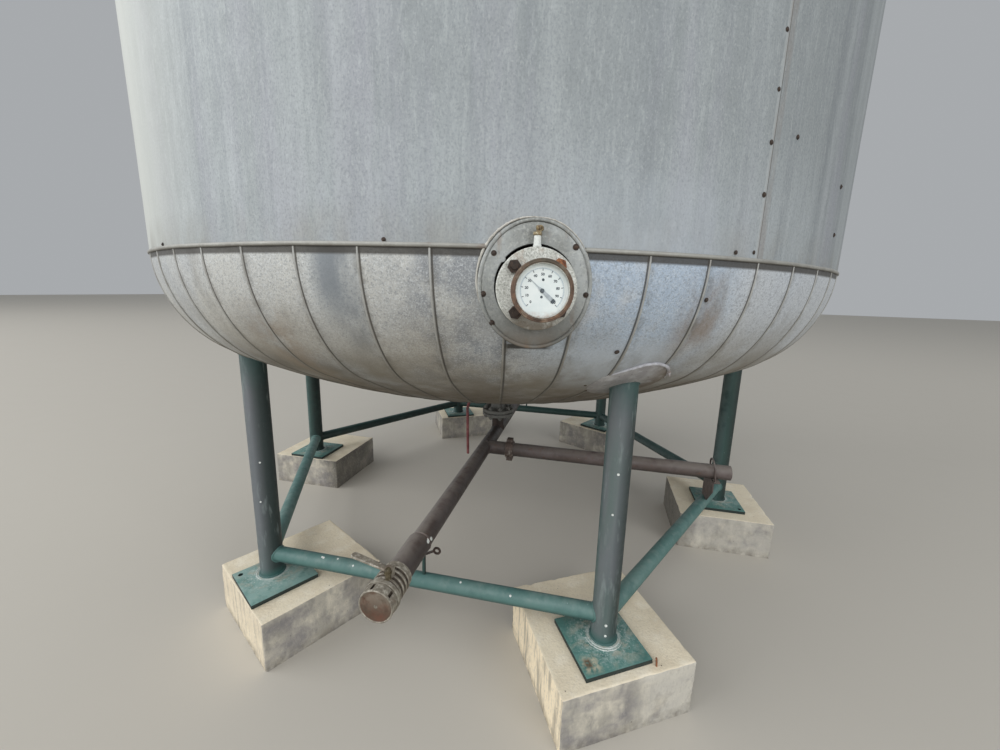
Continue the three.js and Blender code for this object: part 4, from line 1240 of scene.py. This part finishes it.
def textShape(words, size, depth):  # plain figures as a mesh, lying in the XY plane
    curve = bpy.data.curves.new("figures", "FONT")
    curve.body, curve.size, curve.extrude, curve.offset = words, size, depth / 2, 0.04 * size
    curve.align_x = curve.align_y = "CENTER"
    curve.resolution_u = 3
    holder = linked("figures", curve)
    mesh = evaluated(holder)
    bpy.data.objects.remove(holder)
    return [tuple(v.co) for v in mesh.vertices], [list(p.vertices) for p in mesh.polygons]


figures = []
for k in range(dialMarks["numbers"]):
    angle = dialMarks["start"] + dialMarks["sweep"] * k / (dialMarks["numbers"] - 1)
    at = polar(dialMarks["numberRadius"], angle + 90, dialFront)
    figures.append(placed(textShape(str(k * 10), dialMarks["text"], 0.3), shifted(*at)))
makePiece("dialFigures", facing(together(*figures), gauge["drop"]), "fadedDialPrint", "dial_face")


def dialPart(outline):  # a thin plate just over the dial, turned to the reading
    return placed(cutPlate(outline, dialFront + 0.6, dialFront + 1.3, 0.2), turnZ(dialMarks["reading"]))


right = [(1.1, 12), (3.2, 4), (3.6, 0), (3.4, -8), (4.4, -26)]
needle = [(0, 40), *right, (0, -27), *[(-x, y) for x, y in reversed(right)]]
makePiece("dialPointer", facing(dialPart(needle), gauge["drop"]), "paleNeedleLacquer", "pointer_paint",
          "gauge_pointer")
hub = turned(raised(dialFront, (0, -0.1), (4.4, -0.1), (4.4, 1.8), (3.4, 2.6), (0, 2.6)), 24)
dot = turned(raised(dialFront, (0, -0.2), (2.7, -0.2), (2.7, 0.2), (0, 0.2)), 20)
makePiece("pointerHub", facing(together(hub, dialPart([(-4.2, -27), (4.2, -27), (4.2, -34), (-4.2, -34)]),
          placed(dot, shifted(1.2, 21.5, 0)), placed(dot, shifted(-1, -12.5, 0))), gauge["drop"]), "fadedDialPrint",
          "pointer_paint")

foot = flange["radius"] - 0.5
barrel = turned(raised(foot, (0, 0), (9, 0), (9, 4), (8.2, 6), (7.6, 22), (6.6, 25), (0, 25)), 32)
hexagon = [polar(10.6, 60 * k + 102)[:2] for k in range(6)]
knob = turned(raised(foot, (0, 31), (6.4, 31), (6, 33), (4.6, 35), (6.2, 38), (6.2, 42), (5, 44.5), (0, 45)), 24)
eye = [(5.5 + 5.4 * math.cos(math.tau * k / 20), 0, foot + 39 + 5.4 * math.sin(math.tau * k / 20)) for k in range(20)]
plug = together(cutPlate(hexagon, foot + 24, foot + 31.2, 1.2), placed(knob, shifted(2, 0, 0)),
                swept(eye, 1.5, 10, loop=True, up=(0, 1, 0)))
for name, shape, look, node in (("Barrel", barrel, "driedLime", None), ("Plug", plug, "limedBrass", "port_vent_plug")):
    shape = placed(shape, shifted(-2, -(face - flange["thickness"] / 2), -flange["drop"]), *portTurn)
    makePiece("vent" + name, shape, look, "tarnished_brass", node)
print("port and thermometer made")

# outlet, header and caps
outlet = {"radius": 44.45, "thickness": 22, "joint": 644, "top": 852}
joint, under, radius = outlet["joint"], outlet["joint"] - outlet["thickness"], outlet["radius"]
root = joint + 0.3 + outlet["thickness"]
neck = [*raised(joint, (0, 0.6), (72, 0.6), (72, 2.2), (98.5, 2.2), (100, 3.7)),
        *raised(root, (100, -1.5), (98.5, 0), (54, 0), (50, 4), (46, 18), (radius, 24)),
        (radius, outlet["top"]), (0, outlet["top"])]
neckWeld = [(46 * math.sin(t), -46 * math.cos(t), dishFoot(46) - 1) for t in turns]
makePiece("outletNeck", together(turned(neck, 64), weldRing(neckWeld, 4, 70)), "dullFlangePaint", "rusty_pipe",
          "outlet_neck")
pipeRadius, pipeHeight, skew = tank["pipeRadius"], tank["pipeHeight"], turnZ(tank["skew"])
drop = [(0, pipeHeight), (pipeRadius, pipeHeight), *raised(under, (pipeRadius, -5), (42, -1), (43, 2), (0, 2))]
loose = [*raised(under, (40, 1), (46, 0), (98.5, 0), (100, 1.5)),
         *raised(joint, (100, -3.5), (98.5, -2), (72, -2), (72, -0.3), (40, -0.3))]
makePiece("dropFlange", turned(loose, 72), "dullFlangePaint", "rusty_pipe")
saddle = [(pipeRadius * math.cos(t) * 1.02, pipeRadius * math.sin(t) * 1.02,
           pipeHeight + pipeRadius * abs(math.sin(t)) + 0.5) for t in turns]
makePiece("dropPipe", placed(together(turned(drop, 64), weldRing(saddle, 4, 71)), skew), "darkPipePrimer",
          "rusty_pipe", "drop_pipe")
gasket = raised(joint, (0, -0.6), (71, -0.6), (71, 0.9), (0, 0.9))
makePiece("outletGasket", turned(gasket, 48), "blackPackingAndShade", "rusty_pipe")
for name, height, flip in (("upper", root - 0.3, 0), ("lower", under + 0.3, math.pi)):
    values = {"Count": 8, "Circle": 0.08, "Phase": math.radians(22.5), "Flats": 0.024, "Nut": 0.013, "Stud": 0.008,
              "Stud Height": 0.02, "Turn": (flip, 0, 0), "Place": (0, 0, height * mm)}
    growPiece(f"{name}FlangeNuts", "bolts", values, "dullFlangePaint")

header = {"tailStart": 1256, "tailRadius": 43, "tailShift": (-3.5, 0, -3), "end": 1500}
tailRadius, tailStart, tailEnd = header["tailRadius"], header["tailStart"], header["end"]
toTail = shifted(*header["tailShift"])


def alongY(profile, sides=64):  # a profile of (radius, distance towards -Y)
    return placed(turned(profile, sides), turnX(90))


tail = [*raised(tailStart, (0, -1), (pipeRadius - 2, -1), (tailRadius - 1.5, 1), (tailRadius, 3)),
        (tailRadius, 1380), (tailRadius, tailEnd), (0, tailEnd)]
tailWeld = [((pipeRadius + 1) * math.cos(t), -tailStart + 1, (pipeRadius + 1) * math.sin(t)) for t in turns]
tails = []
for flip in (0, 180):
    tails.append(placed(alongY(tail), toTail, turnZ(flip)))
    tails.append(placed(weldRing(tailWeld, 3.4, 72, up=(0, 1, 0)), turnZ(flip)))
main = alongY(rod(pipeRadius, -tailStart - 6, tailStart + 6, 40))
makePiece("headerPipe", placed(together(main, *tails), shifted(0, 0, pipeHeight), skew), "agedPipePrimer",
          "rusty_pipe", "header_pipe")

paintSpots = [((53.1, -1252.5, 531.2), (0.93, 0, 0.36)), ((52.5, -1266, 533.5), (0.9, 0, 0.42)),
              ((53.8, -1240, 528.3), (0.95, 0, 0.31)), ((51, -1258, 536), (0.86, 0, 0.5))]
headPoints("headerSplashes", paintSpots, 6.5, 1.6, "driedLime", sides=12, seed=3)

cap = {"end": 1566, "length": 141, "radius": 54.5, "rib": 52.5, "ribs": (24, 43, 62, 81), "lug": 30,
       "slots": (345, 48, 120, 195, 255, 300)}
capEnd, capBack, rib, lug = cap["end"], cap["end"] - cap["length"], cap["rib"], cap["lug"]
sleeve = [(0, tailEnd + 0.5), (tailRadius + 0.3, tailEnd + 0.5), (tailRadius + 0.3, capBack), (48, capBack),
          (49, capBack + 1)]
for at in cap["ribs"]:
    sleeve += raised(capBack + at, (46, -7), (rib - 1.5, -4.5), (rib, -2.5), (rib, 2.5), (rib - 1.5, 4.5), (46, 7))
sleeve += raised(capEnd, (48, -49), (51, -47), (51, -31), (50, -31), (54, -30.5), (54.5, -30), (54.5, -3), (54, -1),
                 (52.5, 0), (50.5, 0), (49, -2.2), (0, -2.2))
ringBand = raised(capEnd, (50, -48), (55.5, -48), (56.5, -47), (56.5, -35), (55.5, -34), (50, -34))
faceDisc = raised(capEnd, (0, -5), (49.4, -5), (49.4, -1.9), (48, -1.4), (47, -1.9), (30, -1.5), (6, -1.7),
                  (5.4, -4.6), (0, -4.6))
facePin = raised(capEnd, (0, -4.9), (2.8, -4.9), (2.8, -0.8), (1.6, -0.2), (0, -0.2))
pin = placed(alongY(facePin, 12), shifted(-1, 0, 2.2))
leverTop, leverAt = rib + tank["gap"] + lug - 13, capEnd - 70
roundEnd = [polar(12, 180 + 18 * k)[:2] for k in range(11)]
outline = [(0, 10), *[(x - 114, y) for x, y in roundEnd], (0, -10)]
lever = together(block((24, 22, lug), (12, -leverAt, rib + lug / 2), 2.5),
                 placed(cutPlate(outline, 0, 8.5, 2), turnY(8.5), turnZ(-7), shifted(2, -leverAt - 2, leverTop + 1)))
bolt = [(0, -6), (8.5, -6), (8.5, 12), (11.5, 12), (11.5, 17), (9, 17.5), (9, 26), (7.5, 28), (0, 28)]
bolt = placed(turned(bolt, 24), shifted(18, -(capEnd - 48), cap["radius"] + 11))
slot = block((9, 22, 20), (0, -(capEnd - 17), cap["radius"] + 2), 1)
ends = {"front": 0, "rear": 180}
for end, flip in ends.items():
    seatAt = [toTail, turnZ(flip), shifted(0, 0, pipeHeight), skew]
    body = makePiece(f"{end}CapBody", placed(alongY(sleeve, 72), *seatAt), "limedCastIron", "coupling_metal",
                     f"{end}_cap")
    drilled(body, *[placed(slot, turnY(angle), *seatAt) for angle in cap["slots"]])
    unseated = toTail.inverted() @ turnZ(-flip) @ turnZ(-tank["skew"]) @ shifted(0, 0, -pipeHeight)

    def inGroove(centre):
        at = unseated @ centre
        away = math.hypot(at.x, at.z)
        return (away < 48.5 and capBack + 17 < -at.y < capEnd - 53) or (away < 53 and capEnd - 29 < -at.y < capEnd - 6)

    def inPinHole(centre):
        at = unseated @ centre
        return math.hypot(at.x, at.z) < 5.6

    # faces in the grooves and slots are painted dark: dirt and painted shade
    repainted(body, "groovedDirtAndShade", inGroove)
    makePiece(f"{end}CapRing", placed(together(alongY(ringBand, 72), pin), *seatAt), "limedCastIron",
              "coupling_metal")
    disc = makePiece(f"{end}CapFace", placed(alongY(faceDisc, 72), *seatAt), "rustedCapFace", "coupling_metal")
    # the hole round the pin is painted dark as painted shade
    repainted(disc, "groovedDirtAndShade", inPinHole)
    makePiece(f"{end}ClampLever", placed(lever, *seatAt), "limedCastIron", "coupling_metal", f"{end}_cap_lever")
    makePiece(f"{end}CapSwivel", placed(bolt, *seatAt), "dullOliveBolt", "coupling_metal")

reach = tank["legCircle"] * math.cos(math.radians(30)) / math.cos(math.radians(tank["skew"]))
dropTo = pipeHeight - tank["braceHeight"]
post = block((11, 12, dropTo - 50), (-13, -reach, -dropTo / 2 - 6), 1.2)
eyePath = [(40 + 11.5 * math.cos(t), -reach, -71 + 11.5 * math.sin(t)) for t in turns[::2]]
armPath = [(x, -reach, z) for x, z in ((-13, -93), (0, -89), (14, -81), (26, -75), (31, -73))]
hook = together(swept(eyePath, 4.6, 10, loop=True, up=(0, 1, 0)), swept(armPath, 5, 10))
for end, flip in ends.items():
    seatAt = [turnZ(flip), shifted(0, 0, pipeHeight), skew]
    makePiece(f"{end}PipePost", placed(post, *seatAt), "shelteredShadedGreenPaint", "green_paint", f"{end}_pipe_bracket")
    makePiece(f"{end}PipeHook", placed(hook, *seatAt), "darkPipePrimer", "green_paint")
print("header made")

# branch
branch = {"offset": -313, "coupling": 150, "bracket": 1245, "end": 1330, "wall": 3.6}
offset, coupling = branch["offset"], branch["coupling"]
headerAt = -math.tan(math.radians(tank["skew"])) * offset


def alongX(profile, sides=64):  # a profile of (radius, distance towards +X)
    return placed(turned(profile, sides), turnY(90), shifted(0, offset, pipeHeight))


stubPipe = [(0, headerAt + 20), (pipeRadius, headerAt + 20), (pipeRadius, coupling - 0.2), (0, coupling - 0.2)]
teeWeld = [(headerAt + pipeRadius * abs(math.cos(t)) + 0.5, offset + pipeRadius * 1.02 * math.cos(t),
            pipeHeight + pipeRadius * 1.02 * math.sin(t)) for t in turns]
makePiece("branchStub", together(alongX(stubPipe), weldRing(teeWeld, 4, 74, up=(1, 0, 0))), "agedPipePrimer",
          "rusty_pipe", "branch_stub")
half = [(pipeRadius + 0.3, 23), (44, 23), (46, 22), (53, 15), (54, 13)]
housing = raised(coupling, *[(r, -h) for r, h in half], *reversed(half))
lugs = [block((34, 40, 18), (coupling, offset, pipeHeight + side * 56), 3) for side in (-1, 1)]
makePiece("branchCoupling", together(alongX(housing), *lugs), "rustedCouplingIron", "coupling_metal",
          "branch_coupling")
run = rod(pipeRadius, coupling + 0.2, branch["end"], 16, pipeRadius - branch["wall"])
makePiece("branchPipe", alongX(run), "agedPipePrimer", "rusty_pipe", "branch_pipe")
topZ, plateX = -pipeRadius - 0.3, branch["bracket"]
gusset = [(-52, topZ), (110, topZ), (110, 26 - dropTo), (30, 26 - dropTo), (-52, -95)]
gussetShape = placed(cutPlate(gusset, -7, 0, 0.8), turnX(90), turnZ(90), shifted(plateX, offset, pipeHeight))
flangePart = block((36, 150, 7), (plateX + 12, offset + 23, pipeHeight + topZ - 3.5), 1)
boltPath = [(46, topZ - 10), (46, topZ), (46, 22)]
boltPath += [(46 * math.cos(math.pi * k / 16), 22 + 46 * math.sin(math.pi * k / 16)) for k in range(1, 16)]
boltPath += [(-46, 22), (-46, topZ), (-46, topZ - 10)]
uBolt = swept([(plateX + 6 - 0.12 * (z - topZ), offset + y, pipeHeight + z) for y, z in boltPath], 4.5, 12)
makePiece("branchBracket", together(gussetShape, flangePart, uBolt), "agedPipePrimer", "rusty_pipe",
          "branch_pipe_bracket")
print("branch made")

# drain tube and leg boot
tube = {"y": -139, "radius": 8.6, "stops": [(-106, 850), (-160, 712), (-166, 683), (-165, 660), (-160, 385)]}
tubePath = []
for (x0, z0), (x1, z1) in zip(tube["stops"], tube["stops"][1:]):
    tubePath += [(x0 + (x1 - x0) * k / 4, tube["y"], z0 + (z1 - z0) * k / 4) for k in range(4)]
tubePath.append((x1, tube["y"], z1))
makePiece("drainTube", swept(tubePath, tube["radius"], 20), "fadedRedPrimer", "red_primer", "drain_tube")


def bootShape():
    rings, rows = 16, 4
    legX, legY, _ = polar(tank["legCircle"], 30)
    rim = []
    for (x0, y0), (x1, y1) in zip(edgeXY, edgeXY[1:] + edgeXY[:1]):
        rim += [(x0 + (x1 - x0) * k / rows, y0 + (y1 - y0) * k / rows) for k in range(rows)]
    points = []
    for isOutside in (True, False):
        for ring in range(rings + 1):
            share = ring / rings
            swell = min(1, max(0, (share - 0.35) / 0.45))
            for x1, y1 in rim:
                x, y = legX + (x1 - legX) * share, legY + (y1 - legY) * share
                rise = boot["atLeg"] + (boot["lift"] - boot["atLeg"]) * swell * swell * (3 - 2 * swell)
                rise += 2.2 * swell * noise.noise(Vector((x / 34, y / 34, 2)))
                rise *= 1 - max(0, (share - 0.9) / 0.1) ** 2 * 0.85
                points.append((x, y, dishFoot(math.hypot(x, y)) - (max(0.4, rise) if isOutside else -6)))
    every = numbered(2 * rings + 2, len(rim))
    outer, inner = every[:rings + 1], every[rings + 1:]
    return points, spanned(outer) + spanned(inner) + spanned([outer[-1], inner[-1]])


lumps = [onShell(*spot) for spot in ((23.9, 1154), (25.1, 1144), (25.3, 1120), (25.4, 1182), (32.4, 1208))]
headPoints("patchLumps", lumps, 4, 2.5, "groovedDirtAndShade", seed=12)
makePiece("legBoot", bootShape(), "beatenPatchZinc", "gored_cladding", "leg_boot")
foldPath = [(x, y, dishFoot(math.hypot(x, y)) - 2.5) for x, y in edgeXY[1:11]]
lump = [tuple(Vector(foldPath[-2]) + Vector(step)) for step in ((-7, 3, 10), (-2, 0, 4), (2, -1, -4), (4, 1, -14))]
makePiece("bootFold", together(swept(foldPath, [1, 3, 3.8, 4.2, 4.4, 4.6, 4.8, 5.2, 4.6, 2], 10),
          swept(lump, [3, 6.5, 6, 3], 10)), "smearedSealant", "gored_cladding")
print("small parts made")

# floor, light and camera
floorPoints = [(-40000, -40000, -0.5), (40000, -40000, -0.5), (40000, 40000, -0.5), (-40000, 40000, -0.5)]
floor = makeObject("studioFloor", (floorPoints, [(0, 1, 2, 3)]), makeFinish("paleFloor", "c4bfb5 0 0.8 0.9 200"))

world = bpy.data.worlds.new("studio")
bpy.context.scene.world = world
world.use_nodes = True
world.node_tree.nodes["Background"].inputs[0].default_value = linear("e4e8ec")
world.node_tree.nodes["Background"].inputs[1].default_value = 0.5
lamps = [("key", (-20, -10, 12.5), (0, 0, 1.0), 20, 3000), ("front", (-2, -21, 14), (0, 0, 1.0), 18, 2150),
         ("fill", (18, -14, 9.5), (0, 0, 0.8), 12, 1500)]
for name, spot, target, size, power in lamps:
    lamp = bpy.data.lights.new(name, "AREA")
    lamp.size, lamp.energy = size, power
    holder = linked(name, lamp)
    holder.location = spot
    holder.rotation_mode = "QUATERNION"
    holder.rotation_quaternion = (Vector(target) - Vector(spot)).to_track_quat("-Z", "Y")
    holder.visible_camera = False

view = {
    "place": (0.5856, -2.4798, 1.4300), "right": (0.97789, 0.20706, 0.02948), "up": (-0.06788, 0.18094, 0.98116),
    "forward": (-0.19782, 0.96144, -0.19104), "focal": 402.687, "middle": (510.606, 367.667), "image": (1000, 750),
}
lens = bpy.data.cameras.new("camera")
lens.sensor_width = 36
lens.lens = view["focal"] / view["image"][0] * lens.sensor_width
lens.shift_x = -(view["middle"][0] - view["image"][0] / 2) / view["image"][0]
lens.shift_y = (view["middle"][1] - view["image"][1] / 2) / view["image"][0]
lens.clip_start, lens.clip_end = 0.01, 200
camera = linked("camera", lens)
columns = [Vector(view["right"]), Vector(view["up"]), -Vector(view["forward"])]
camera.matrix_world = Matrix.Translation(view["place"]) @ Matrix(columns).transposed().to_4x4()
bpy.context.scene.camera = camera
bpy.context.scene.view_settings.view_transform = "Standard"
